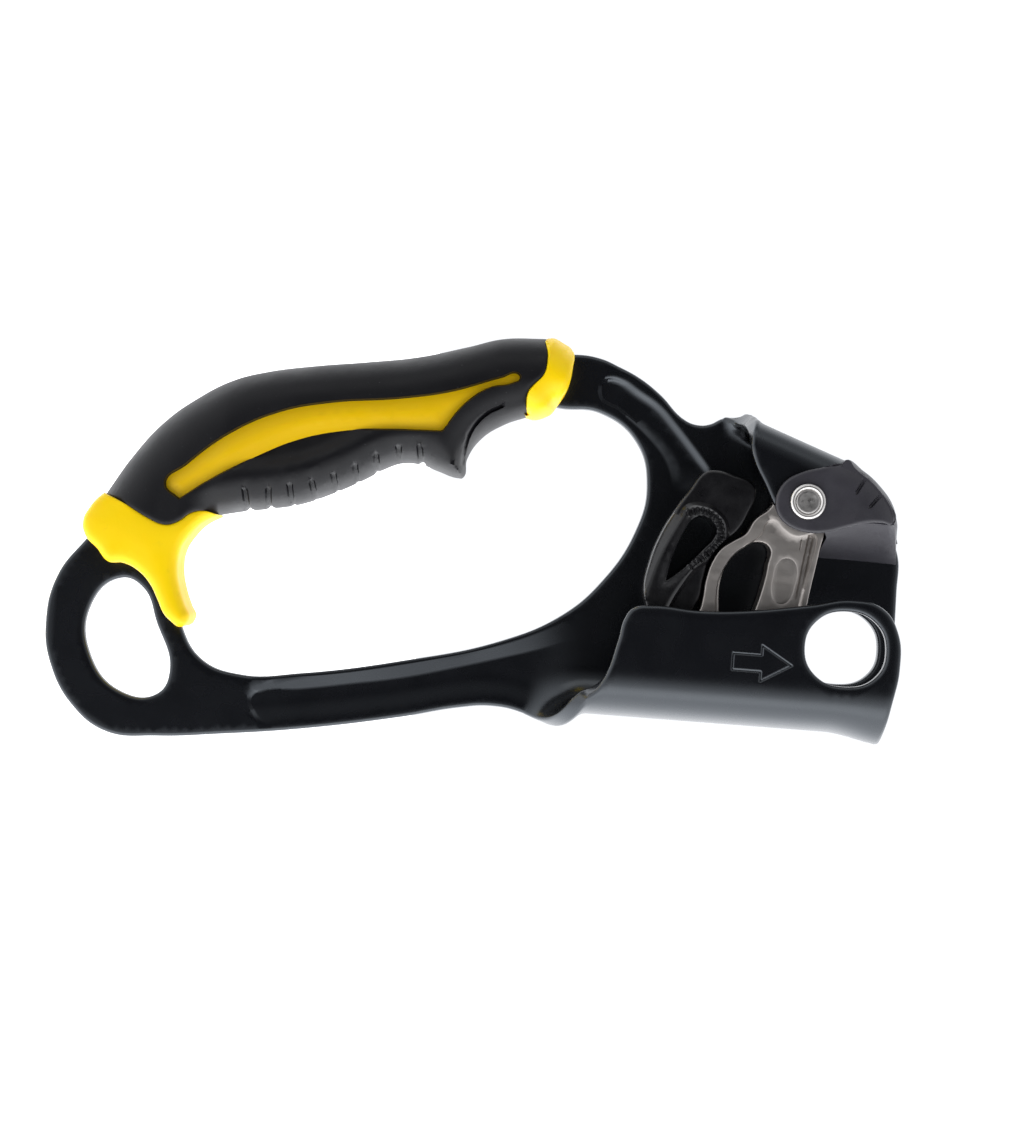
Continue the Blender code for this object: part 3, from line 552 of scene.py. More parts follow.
HAND_OPENING = [
    (-56.8, -55.5), (-56.3, -45.7), (-50.5, -37.2), (-40.9, -34.1), (-31.0, -35.8), (-18.7, -42.8),
    (-10.7, -51.1), (-4.2, -63.9), (1.9, -85.6), (6.3, -107.5), (7.6, -120.8), (4.7, -129.9),
    (-3.5, -135.2), (-14.0, -138.5), (-25.0, -135.5), (-33.5, -127.0), (-39.0, -116.5), (-43.0, -104.0),
    (-46.0, -91.0), (-49.0, -81.0), (-53.4, -73.0), (-56.8, -67.5), (-58.6, -61.0)
]
LOWER_HOLE = [
    (-11.7, -148.8), (-5.2, -155.1), (6.1, -154.2), (13.4, -146.9), (13.2, -138.9), (7.9, -136.5),
    (-2.6, -140.2), (-10.0, -143.8)
]
UPPER_HOLE = [
    (-16.7, 10.3), (-14.3, 4.3), (-8.4, 2.0), (-2.5, 4.6), (-0.4, 11.3), (-2.9, 17.7), (-8.8, 19.6),
    (-14.6, 17.0)
]
LOWER_GROOVE = [
    (20.5, -112.5), (18.6, -115.6), (15.9, -117.6), (12.2, -118.9), (8.6, -117.9), (6.9, -114.5),
    (6.35, -108.0), (4.4, -96.5), (2.0, -85.6), (-1.0, -74.6), (-4.1, -63.8), (-7.2, -56.8),
    (-10.5, -50.9)
]
LOWER_GROOVE_FLOOR = [
    (18.2, -113.2), (15.7, -116.7), (12.4, -117.9), (10.9, -115.6), (9.8, -107.3), (7.8, -96.3),
    (5.7, -85.4), (2.8, -74.5), (-0.4, -63.6), (-3.1, -54.9), (-6.4, -46.3)
]
UPPER_GROOVE_OUTER = [
    (-60.9, -46.6), (-63.0, -46.3), (-64.4, -44.7), (-64.3, -41.1), (-62.1, -37.1), (-59.2, -32.4),
    (-55.0, -28.2), (-50.9, -24.5), (-46.7, -20.9), (-42.0, -17.2)
]
UPPER_GROOVE_INNER = [
    (-60.9, -46.6), (-59.1, -45.8), (-58.0, -43.8), (-57.4, -42.2), (-55.0, -38.7), (-52.4, -35.7),
    (-49.4, -32.8), (-46.8, -30.9), (-44.6, -29.9), (-40.5, -29.0)
]
ARROW = [(-4.1, -0.6, "c"), (-8.0, -7.2, "c"), (-5.9, -7.2, "c"), (-5.9, -13.4, "c"),
         (-2.3, -13.4, "c"), (-2.3, -7.2, "c"), (-0.2, -7.2, "c")]


def fold_middle(points):
    """Where flat points end up on the folded plate's middle surface, as an array of 3-D points."""
    x, z = points[:, 0], points[:, 1]
    share = smooth_ramp((z - CHANNEL_START) / CHANNEL_RUN)
    radius = WALL_MID / np.maximum(share, 0.01)
    turn = np.clip(x / radius, 0, math.pi)
    flare = 2.2 * smooth_ramp((z - 8.0) / 15.0) * np.sin(turn) ** 2
    run_on = np.maximum(0.0, x - math.pi * radius)
    folded = (x > 0) & (share >= 0.01)
    channel_x = np.where(folded, (radius + flare) * np.sin(turn) - run_on, x)
    channel_y = np.where(folded, WALL_MID - radius + radius * np.cos(turn), WALL_MID)

    offset = points - HOUSING_START
    along = offset @ HOUSING_ALONG
    out = offset @ HOUSING_OUT
    amount = smooth_ramp((along - HOUSING_FOLD_START) / HOUSING_FOLD_RUN)
    first = np.clip(out / HOUSING_BEND, 0, math.pi / 2)
    side = np.clip(out - HOUSING_ARC, 0, HOUSING_SIDE)
    second = np.clip((out - HOUSING_ARC - HOUSING_SIDE) / HOUSING_BEND, 0, math.pi / 2)
    past = np.maximum(0.0, out - HOUSING_TURN)
    reach = HOUSING_BEND * np.sin(first) - HOUSING_BEND * (1 - np.cos(second)) - past
    drop = HOUSING_BEND * (1 - np.cos(first)) + side + HOUSING_BEND * np.sin(second)
    bell = 1.5 * np.exp(-((along - 0.5) / 1.9) ** 2) * np.sin(math.pi * np.clip(out / HOUSING_TURN, 0, 1))
    reach = out + (reach - out) * amount + bell
    plan = HOUSING_START + along[:, None] * HOUSING_ALONG + reach[:, None] * HOUSING_OUT
    housed = (out > 0) & (amount >= 0.01) & (x <= 0)
    final_x = np.where(housed, plan[:, 0], channel_x)
    final_z = np.where(housed, plan[:, 1], z)
    final_y = np.where(housed, WALL_MID - drop * amount, channel_y)
    return np.stack([final_x, final_y, final_z], axis=1)


def fold_place(points, offset):
    """Points at an offset from the folded plate's middle surface, positive to its front face."""
    small = 0.01
    across = fold_middle(points + (small, 0)) - fold_middle(points - (small, 0))
    upward = fold_middle(points + (0, small)) - fold_middle(points - (0, small))
    normal = np.cross(across, upward)
    normal /= np.linalg.norm(normal, axis=1)[:, None]
    return fold_middle(points) + normal * offset[:, None]


def lower_groove_depth(points, start, floor, outer):
    """The pressed trough along the lower bar: a wide slope from the hand opening to a flat floor."""
    region = np.vstack([start, [(-14.0, -38.0), (30.0, -38.0), (30.0, -112.0)]])
    from_start = distance_to(points, start)
    from_floor = distance_to(points, floor)
    on_floor = inside(points, [np.vstack([floor, [(-12.0, -38.0), (30.0, -38.0), (30.0, -112.0)]])])
    slope = np.where(on_floor, 1.0, from_start / np.maximum(from_start + from_floor, 0.01))
    slope = np.where(inside(points, [region]), slope, 0.0)
    fade_out = smooth_ramp((distance_to(points, outer, closed=True) - 0.8) / 6.0)
    fade_up = 1 - smooth_ramp((points[:, 1] - CHANNEL_START) / CHANNEL_RUN)
    return LOWER_GROOVE_DEPTH * slope * fade_out * fade_up


def between(first, last, share):
    """A path part of the way from one open path to another."""
    steps = np.linspace(0, 1, len(first))
    run = np.concatenate([[0], np.cumsum(np.linalg.norm(np.diff(last, axis=0), axis=1))])
    partner = np.stack([np.interp(steps, run / run[-1], last[:, i]) for i in (0, 1)], axis=1)
    return first + (partner - first) * share


def build_plate():
    outer = path(plate_outline(), step=0.9)
    hand = path(HAND_OPENING, step=0.9)
    upper = path(UPPER_HOLE, step=0.6)
    loops = [outer, hand, path(LOWER_HOLE, step=0.8), upper]
    loops.append(path([channel_flat(*p) for p in UPPER_HOLE], step=0.6))
    offset = np.array(AXLE[:]) - HOUSING_START
    in_flange = housing_flat(offset @ HOUSING_ALONG, -(offset @ HOUSING_OUT))
    loops += [arc(centre, AXLE_BORE, range(0, 360, 10)) for centre in (AXLE, in_flange)]
    outer_slope = open_path(UPPER_GROOVE_OUTER, step=0.7)
    inner_slope = open_path(UPPER_GROOVE_INNER, step=0.7)
    groove = np.vstack([outer_slope, inner_slope[:0:-1]])
    start = open_path(LOWER_GROOVE, step=0.7)
    floor = open_path(LOWER_GROOVE_FLOOR, step=0.7)
    arrow = path([(*channel_flat(p[0], p[1]), "c") for p in ARROW], step=0.6)
    lines = [start, floor, outer_slope, inner_slope]
    lines += [between(start, floor, share) for share in (0.25, 0.5, 0.75)]
    lines += beside(floor, (0.35,)) + beside(start[:12], (0.35,))
    lines += beside(outer_slope[2:], (0.4, 0.8, 1.3, 2.0)) + beside(inner_slope[2:], (0.4, 0.8))
    low, high = arrow.min(axis=0) - 0.6, arrow.max(axis=0) + 0.6
    fine = [np.arange(low[i], high[i], 0.17) for i in (0, 1)]
    patch = np.array([(x, z) for x in fine[0] for z in fine[1]])
    patch = patch[distance_to(patch, arrow, closed=True) < 0.75]
    for bend in (0.0, HOUSING_ARC + HOUSING_SIDE):
        for i in range(7):
            out = bend + HOUSING_ARC * i / 6
            lines.append(np.array([HOUSING_START + HOUSING_ALONG * along + HOUSING_OUT * out
                                   for along in np.arange(HOUSING_FOLD_START, 24.0, 0.7)]))

    def front(points, edge):
        relief = lower_groove_depth(points, start, floor, outer)
        fade = 1 - smooth_ramp((points[:, 0] + 47.0) / 9.0)
        away = np.linalg.norm(points - UPPER_GROOVE_TIP, axis=1)
        wide = 0.8 + 1.2 * smooth_ramp((away - 1.5) / 6.0)
        soft = 0.8 + 2.4 * smooth_ramp((points[:, 0] + 58.0) / 14.0)
        slopes = np.minimum(smooth_ramp(distance_to(points, outer_slope) / wide),
                            smooth_ramp(distance_to(points, inner_slope) / soft))
        relief += np.where(inside(points, [groove]), UPPER_GROOVE_DEPTH * slopes * fade, 0.0)
        return PLATE / 2 - rim_drop(edge, PLATE_RIM) - relief

    def rear(points, edge):
        pressed = ARROW_DEPTH * stroke(points, arrow, 0.3, closed=True)
        return pressed - (PLATE / 2 - rim_drop(edge, PLATE_RIM))

    plate = plate_solid("plate", loops, (0.1, 0.32, PLATE_RIM), 1.35, front, rear, lines, [patch],
                        fold_place)
    attach(plate, "body", ANODISED, "anodised_black", "frame")


# ---------------------------------------------------------------- the grip

RUBBER_TOP = [
    (-30.2, -153.4), (-38.8, -148.2), (-46.9, -141.8), (-52.8, -134.7), (-57.2, -127.4), (-59.7, -120.0),
    (-61.9, -109.1), (-63.6, -97.9), (-65.6, -86.6), (-68.7, -75.8), (-71.0, -68.4), (-71.8, -58.8)
]
RUBBER_COLLAR = [(-66.9, -58.1), (-63.6, -58.7), (-61.2, -60.7), (-59.5, -61.9), (-57.0, -62.0)]
RUBBER_BOTTOM = [
    (-54.4, -61.3), (-52.0, -66.9), (-48.5, -71.6), (-43.9, -74.3), (-39.7, -74.9), (-39.5, -75.9),
    (-40.7, -80.6), (-41.8, -84.2), (-41.8, -88.6), (-40.3, -92.3), (-37.8, -96.3), (-33.9, -103.6),
    (-31.0, -110.5), (-29.4, -117.7), (-28.6, -122.3), (-27.3, -128.0)
]
RUBBER_GUARD = [
    (-27.9, -130.8), (-27.2, -133.6), (-25.5, -135.7), (-24.4, -137.8), (-24.3, -139.8), (-25.4, -142.8),
    (-28.3, -148.5)
]
COLLAR_JOINT = [RUBBER_TOP[-1]] + RUBBER_COLLAR + [RUBBER_BOTTOM[0]]
GUARD_JOINT = [RUBBER_BOTTOM[-1]] + RUBBER_GUARD + [RUBBER_TOP[0]]
INLAY = [
    (-33.2, -139.8), (-37.9, -135.4), (-45.6, -126.1), (-51.0, -115.6), (-53.8, -104.9), (-55.9, -89.7),
    (-58.2, -79.0), (-62.1, -68.3), (-63.3, -64.5), (-62.0, -63.7), (-60.6, -65.6), (-59.3, -70.3),
    (-56.4, -74.4), (-53.6, -76.9), (-50.6, -78.8), (-49.0, -79.8, "c"), (-48.8, -84.8), (-48.5, -91.3),
    (-47.6, -100.0), (-44.8, -110.8), (-39.6, -121.3), (-33.9, -130.7), (-29.8, -136.2, "c")
]
SCOOP_TOP = [
    (-30.6, -136.4), (-34.6, -131.0), (-40.3, -121.2), (-45.3, -110.9), (-48.1, -100.1), (-49.2, -91.3),
    (-49.4, -80.6)
]
RIDGE = [(-29.6, -135.6), (-32.5, -130.3), (-35.1, -125.4), (-36.8, -117.6), (-38.2, -111.9),
         (-39.6, -107.6), (-43.0, -100.6), (-46.2, -93.7), (-47.6, -86.5), (-48.1, -80.0)]
NOTCHES = [
    ((-33.0, -122.0), (-28.7, -121.5)), ((-33.6, -116.9), (-29.5, -116.9)),
    ((-34.7, -112.3), (-29.9, -111.7)), ((-36.0, -107.6), (-31.6, -106.6)),
    ((-37.8, -103.0), (-33.8, -102.1)), ((-40.1, -98.5), (-36.1, -97.8)),
    ((-42.9, -94.1), (-38.8, -93.6)), ((-44.8, -89.3), (-40.6, -89.0)), ((-45.5, -84.7), (-41.4, -84.2))
]
SLIT = [(-42.6, -75.2), (-47.0, -74.7), (-50.7, -73.3), (-53.8, -70.7), (-55.8, -67.4)]
GUARD = [
    (-30.2, -153.2), (-28.9, -154.6), (-26.8, -156.1), (-23.9, -157.3), (-20.6, -156.6), (-17.9, -153.8),
    (-15.2, -151.1), (-15.2, -148.0), (-13.8, -144.6), (-11.1, -141.7), (-7.5, -139.6), (-4.7, -138.1),
    (-3.3, -136.6), (-2.1, -134.1), (-4.3, -132.3), (-6.9, -133.4), (-10.1, -134.7), (-14.4, -135.7),
    (-18.9, -135.4), (-22.4, -133.5), (-25.0, -131.2), (-27.0, -127.9, "c")
]
COLLAR = [
    (-71.7, -58.4), (-70.9, -54.6), (-69.5, -52.8), (-65.1, -52.6), (-60.6, -53.4), (-56.7, -55.5),
    (-54.9, -57.0), (-54.1, -61.9), (-57.0, -63.0), (-59.5, -62.7), (-61.6, -61.4), (-63.8, -59.6),
    (-67.2, -59.0)
]
INLAY_RECESS = 2.6
SCOOP_DEPTH = 2.3
NOTCH_DEPTH = 1.4
COLLAR_HALF_DEPTH = 10.6
GRIP_CENTRE = np.array((-50.0, -95.0))
DEPTH_AT = ([-150.0, -141.0, -127.0, -113.0, -97.0, -86.0, -77.0, -66.0, -52.0],
            [10.9, 11.5, 13.0, 13.6, 13.5, 13.2, 12.7, 11.6, 10.6])


def grip_half(points, top, bottom):
    """Half depth of the smooth grip body at points of the X-Z plane."""
    full = np.interp(points[:, 1], *DEPTH_AT)
    shape = edge_round(distance_to(points, top), 10.5) * edge_round(distance_to(points, bottom), 8.5)
    return full * shape


def grip_half_body(name, loop, rings, spacing, outer_face, inner_face, side=1, lines=()):
    """A body given by its offsets from the grip's middle plane, to the front (side 1) or the rear (-1)."""
    def place(points, offset):
        return np.stack([points[:, 0], WALL_MID - side * offset, points[:, 1]], axis=1)

    return plate_solid(name, [loop], rings, spacing, outer_face, inner_face, lines, place=place)


def grip_pair(kind, loop, rings, spacing, outer_face, inner_face, mat=YELLOW, nodes=((), ())):
    """A front and a rear body that mirror each other in the grip's middle plane."""
    for end, side, replaced in zip(("_front", "_rear"), (1, -1), nodes):
        piece = grip_half_body(kind + end, loop, rings, spacing, outer_face, inner_face, side)
        attach(piece, "body", mat, "yellow_plastic", *replaced)


def notched_bottom():
    """The finger side's silhouette with a shallow dent at each notch."""
    line = open_path(RUBBER_BOTTOM, step=0.4)
    dents = np.zeros(len(line))
    for _, outer in NOTCHES:
        gap = np.linalg.norm(line - outer, axis=1)
        dents = np.maximum(dents, 0.75 * smooth_ramp(1.7 - gap / 0.62))
    run = directions(line)
    middle = len(line) // 2
    to_middle = GRIP_CENTRE - line[middle]
    inward = 1.0 if run[middle][1] * to_middle[0] - run[middle][0] * to_middle[1] > 0 else -1.0
    return line + np.stack([run[:, 1], -run[:, 0]], axis=1) * dents[:, None] * inward


def build_rubber():
    top = open_path(RUBBER_TOP)
    smooth_bottom = open_path(RUBBER_BOTTOM, step=0.5)
    collar = open_path(COLLAR_JOINT, step=0.7)
    guard = open_path(GUARD_JOINT, step=0.7)
    loop = np.vstack([top[:-1], collar[:-1], notched_bottom()[:-1], guard[:-1]])
    inlay = path(INLAY, step=0.7)
    scoop_top = open_path(SCOOP_TOP)
    ridge = open_path(RIDGE)
    scoop = np.vstack([scoop_top, ridge[::-1]])
    slit = open_path(SLIT, step=0.6)
    notches = [np.array([inner, outer]) for inner, outer in NOTCHES]

    def half(points, edge):
        height = grip_half(points, top, smooth_bottom)
        recess = INLAY_RECESS * smooth_ramp(depth_inside(points, inlay) / 0.6)
        in_scoop = inside(points, [scoop])
        d_top = distance_to(points, scoop_top)
        d_ridge = distance_to(points, ridge)
        span = d_top + d_ridge
        bowl = smooth_ramp(d_ridge / 4.6) * np.minimum(span / 5.5, 1.0)
        height -= np.maximum(recess, np.where(in_scoop, SCOOP_DEPTH * bowl, 0.0))
        for notch in notches:
            reach = notch[0] + (notch[1] - notch[0]) * 1.35
            height -= NOTCH_DEPTH * stroke(points, np.array([notch[0], reach]), 0.8)
        height -= 0.9 * stroke(points, slit, 0.45)
        height -= 0.6 * rim_drop(np.minimum(distance_to(points, guard), distance_to(points, collar)), 1.0)
        return np.maximum(height, 0.02)

    lines = [np.vstack([inlay, inlay[:1]]), ridge]
    lines += [between(ridge, scoop_top, share)[2:-2] for share in (0.25, 0.5)]
    lines += [inset(turned_way(inlay, True), gap) for gap in (0.3, 0.6)]
    lines += beside(slit, (0.18, 0.5))
    for notch in notches:
        inner, outer = notch
        run = (outer - inner) / np.linalg.norm(outer - inner)
        wide = np.array([-run[1], run[0]])
        for offset in (-0.75, -0.4, 0.0, 0.4, 0.75):
            lines.append(np.array([inner + run * s + wide * offset for s in np.arange(-0.6, 3.7, 0.45)]))
    rings = (0.03, 0.12, 0.3, 0.6, 1.0, 1.6, 2.4)
    rubber = grip_half_body("grip_sleeve", loop, rings, 1.1, half, lambda p, e: -half(p, e), lines=lines)
    attach(rubber, "body", RUBBER, "grey_rubber", "grip_rubber")


def build_inlays():
    top = open_path(RUBBER_TOP)
    bottom = open_path(RUBBER_BOTTOM)
    loop = turned_way(path(INLAY, step=0.7), True)
    loop = inset(loop, 0.28)

    def outer_face(points, edge):
        crown = 0.6 * smooth_ramp(edge / 4.0)
        return grip_half(points, top, bottom) - 1.6 + crown

    def inner_face(points, edge):
        return grip_half(points, top, bottom) - 4.0

    # The inlays take the darker yellow: painted shade on the same plastic as the guards.
    grip_pair("inlay", loop, (0.4, 1.2, 2.4), 1.2, outer_face, inner_face, YELLOW_IN_PAINTED_SHADE)


def build_guards():
    boundary = open_path(GUARD_JOINT, step=0.7)
    outside = open_path(GUARD, step=0.7)
    loop = np.vstack([outside[:-1], boundary[:-1]])

    def outer_face(points, edge):
        open_edge = distance_to(points, outside)
        swell = 0.5 * smooth_ramp(open_edge / 7.0)
        return 9.6 + swell - 1.25 * rim_drop(open_edge, 1.9) - 0.5 * rim_drop(edge, 0.3)

    grip_pair("guard", loop, (0.08, 0.25, 0.6, 1.1, 1.9), 1.3, outer_face, level(HALF_GAP),
              nodes=(("grip_core_front",), ("grip_core_rear",)))


def build_collars():
    loop = path(COLLAR, step=0.6)
    top = loop[(loop[:, 0] < -69.3) & (loop[:, 1] > -58.3)]
    bottom = loop[(loop[:, 0] > -57.0) & (loop[:, 1] > -61.8)]
    joint = open_path(COLLAR_JOINT, step=0.6)
    covered = np.vstack([joint, [(-54.4, -70.0), (-74.0, -70.0), (-74.0, -58.0)]])
    far = open_path([(-70.9, -54.6), (-69.5, -52.8), (-65.1, -52.6), (-60.6, -53.4), (-56.7, -55.5)])

    def outer_face(points, edge):
        body = COLLAR_HALF_DEPTH * edge_round(distance_to(points, top), 8.0)
        body *= edge_round(distance_to(points, bottom), 7.0)
        body *= 1 - 0.11 * rim_drop(distance_to(points, far), 1.6)
        under = inside(points, [covered])
        body -= np.where(under, 2.2 * smooth_ramp(distance_to(points, joint) / 0.6), 0.0)
        return np.hypot(np.maximum(body, 0.0), 1.3)

    grip_pair("collar", loop, (0.05, 0.2, 0.5, 1.0, 1.6), 1.1, outer_face, level(HALF_GAP))


# ---------------------------------------------------------------- the cap

FLANGE_FRONT = -BACK_FACE - CLEARANCE
CAP_SKIN = 1.7
CAP_DOME = [(-48.5, 7.0), (-46.6, 11.7), (-43.3, 15.6), (-40.2, 18.2), (-37.4, 19.4)]
CAP_EAR = [
    (-36.2, 18.6), (-36.4, 16.4), (-36.0, 12.6), (-34.8, 8.8), (-33.4, 4.4), (-33.1, 0.2), (-34.2, -3.7),
    (-36.2, -6.0), (-38.6, -6.9), (-41.5, -6.5), (-44.0, -4.9), (-45.9, -1.9), (-47.3, 2.4)
]
CAP_WALL_FRONT = [
    (-49.3, 7.5), (-47.4, 12.0), (-44.0, 16.2), (-40.5, 18.9), (-38.3, 19.6), (-36.9, 19.8),
    (-36.0, 19.2, "c"), (-36.0, 13.0), (-34.0, 5.4, "c"), (-36.0, 7.6), (-40.0, 8.7), (-43.8, 8.2)
]
CAP_WALL_REAR = [
    (-49.3, 7.5), (-47.4, 12.1), (-44.0, 16.2), (-40.5, 18.7), (-35.8, 20.7), (-31.0, 21.8),
    (-27.8, 22.2, "c"), (-28.0, 14.0), (-28.0, 4.4, "c"), (-31.5, 4.8), (-37.0, 8.2), (-43.0, 8.2)
]
CAP_REAR_SKIN = [
    (-49.3, 7.5), (-47.4, 12.2), (-44.0, 16.4), (-40.5, 19.2), (-36.0, 21.6), (-32.5, 22.6, "c"),
    (-31.5, 20.0, "c"), (-36.0, 16.0), (-41.5, 9.5), (-45.5, 6.5)
]
CAM_CORNER_KNOT = 8    # the knot of both walls that comes nearest to the cam
DOME_KNOTS = 6         # the first knots of both walls follow the dome
KNOT_STEPS = 10
CAP_WALL_REAR_Y = 6.2
CAP_VENTS = [[(-42.6, 10.4), (-46.6, 12.6)], [(-39.8, 13.6), (-43.0, 16.2)]]


def build_cap():
    loop = path(CAP_DOME + CAP_EAR, step=0.6)
    dome = open_path(CAP_DOME)
    ear = open_path([CAP_DOME[-1]] + CAP_EAR + [CAP_DOME[0]])
    vents = [np.array(v) for v in CAP_VENTS]
    vent_lines = []
    for vent in vents:
        vent_lines += beside(open_path([tuple(p) for p in vent], step=0.5), (0.15, 0.45))

    def front(points, edge):
        face = -FLANGE_FRONT + CAP_SKIN - 0.75 * rim_drop(distance_to(points, ear), 0.8)
        face -= 1.5 * np.clip(1 - distance_to(points, dome) / 5.0, 0, 1) ** 2
        for vent in vents:
            face -= 0.75 * stroke(points, vent, 0.42)
        return face

    skin = plate_solid("cap_front", [loop], (0.08, 0.25, 0.55, 0.85, 1.3, 1.9), 1.1, front,
                       level(-FLANGE_FRONT), vent_lines)
    attach(skin, "body", CAP_PLASTIC, "black_plastic", "top_cap")
    build_cap_wall()
    build_cap_rear()


def build_cap_wall():
    """The solid side of the cap, whose inner face slopes from the ear back to the plate."""
    first = sampled(CAP_WALL_FRONT)
    last = sampled(CAP_WALL_REAR)
    count = np.arange(len(first))
    dome_only = smooth_ramp(count / 6.0) * smooth_ramp((DOME_KNOTS * KNOT_STEPS + 2 - count) / 8.0)
    near_cam = np.exp(-((count - CAM_CORNER_KNOT * KNOT_STEPS) / 9.0) ** 2)
    start = FLANGE_FRONT - 0.6
    rings = []
    for share in np.linspace(0, 1, 28):
        plan = first + (last - first) * share
        plan[:, 1] -= 1.4 * max(0.0, 1 - share / 0.27) * near_cam
        tuck = 1.1 * np.clip(1 - share / 0.24, 0, 1) ** 2 * dome_only[:, None]
        plan = plan + (turned_in(plan) - plan) * tuck
        y = start + (CAP_WALL_REAR_Y - start) * share
        rings.append(np.stack([plan[:, 0], np.full(len(plan), y), plan[:, 1]], axis=1))
    wall = loft_solid("cap_wall", rings)
    attach(wall, "body", CAP_PLASTIC, "black_plastic")


def turned_in(plan):
    """The closed plan shrunk by one unit."""
    small = inset(turned_way(plan, True), 1.0)
    return small if signed_area(plan) > 0 else small[::-1]


def sampled(points):
    """A smooth closed path with the same count of points between each two of its knots."""
    smooth = path(points, step=0.05, resolution=24)
    knots = [int(np.argmin(np.linalg.norm(smooth - p[:2], axis=1))) for p in points]
    knots.append(len(smooth))
    rows = []
    for a, b in zip(knots, knots[1:]):
        picks = [a + (b - a) * i // KNOT_STEPS for i in range(KNOT_STEPS)]
        rows += [smooth[i] for i in picks]
    return np.array(rows)


def build_cap_rear():
    loop = path(CAP_REAR_SKIN, step=0.6)

    def rear(points, edge):
        return -(BACK_FACE + CLEARANCE + CAP_SKIN) + rim_drop(edge, 1.1)

    skin = plate_solid("cap_rear_skin", [loop], (0.1, 0.35, 0.7, 1.1), 1.2,
                       level(-(BACK_FACE + 0.05)), rear)
    attach(skin, "body", CAP_PLASTIC, "black_plastic")


# ---------------------------------------------------------------- axle, cam, trigger, springs

def build_axle():
    head = FLANGE_FRONT - CAP_SKIN - CLEARANCE
    front = [(0.0, -0.62), (1.9, -0.62), (2.35, -0.7), (2.6, -0.55), (2.75, -0.75), (2.95, -1.02),
             (3.2, -1.1), (3.5, -1.02), (3.78, -0.78), (3.9, -0.45), (3.9, 0.0), (3.0, 0.02)]
    rear = [(3.0, 2.6), (2.85, 3.1), (2.3, 3.35), (1.2, 3.4), (0.0, 3.4)]
    profile = [(radius, head + y) for radius, y in front]
    profile += [(radius, BACK_FACE + y) for radius, y in rear]
    attach(turned_solid("axle", AXLE, profile), "body", RIVET, "rivet_steel", "cam_axle")
    ring = [(3.15, 0.0), (5.15, 0.0), (5.4, 0.25), (5.4, 1.3), (5.2, 1.75), (4.75, 2.1), (4.3, 2.2),
            (3.35, 2.2), (3.15, 2.0), (3.15, 0.0)]
    low = BACK_FACE + CLEARANCE
    profile = [(radius, low + y) for radius, y in ring]
    attach(turned_solid("tail_ring", AXLE, profile), "body", RIVET, "rivet_steel", "axle_tail_ring")


CAM_LEFT = [
    (-12.9, -24.6), (-13.2, -22.2), (-14.6, -21.1), (-17.0, -20.6), (-21.2, -20.2), (-25.6, -19.0),
    (-28.4, -17.2), (-30.3, -14.6), (-31.8, -12.4), (-35.0, -10.6)
]
CAM_WINDOW = [
    (-30.3, -9.6), (-28.3, -13.2), (-25.2, -15.8), (-21.4, -17.0), (-17.0, -17.1), (-11.0, -15.8),
    (-8.8, -13.2), (-10.6, -10.7), (-15.1, -9.2), (-19.9, -7.9), (-25.5, -7.0), (-29.2, -6.9)
]
CAM_WEB = [
    (-35.4, -7.4), (-35.5, -5.9), (-33.8, -4.0), (-32.5, -1.5), (-32.7, 0.2), (-33.1, 2.3), (-32.5, 3.1),
    (-25.0, 2.1), (-17.4, 1.0), (-3.0, -0.9), (-2.6, -8.0), (-4.0, -16.5), (-9.0, -17.9), (-14.9, -17.8),
    (-17.9, -17.9), (-20.9, -17.7), (-24.2, -16.6), (-27.4, -14.6), (-29.7, -11.8), (-31.9, -9.3)
]
CAM_GROOVE = [(-32.1, 1.9), (-27.0, 1.2), (-23.2, 0.7), (-17.3, 0.0), (-10.0, -0.9)]
CAM_TICK = [(-31.6, -0.1), (-29.5, -0.3)]
BADGE = [
    (-26.0, -4.9), (-27.2, -3.5), (-26.9, -1.7), (-25.2, -0.6), (-21.9, -0.8), (-18.2, -1.9),
    (-17.2, -3.3), (-17.7, -4.9), (-19.1, -5.7), (-23.3, -5.7)
]
CAM_FACE_ANGLES = (-2.0, 28.0)
CAM_REACH = 39.8
CAM_SPIRAL = 0.25


def cam_face(angle, reach):
    grown = reach * math.exp(CAM_SPIRAL * angle)
    return (AXLE.x + grown * math.cos(angle), AXLE.y - grown * math.sin(angle))


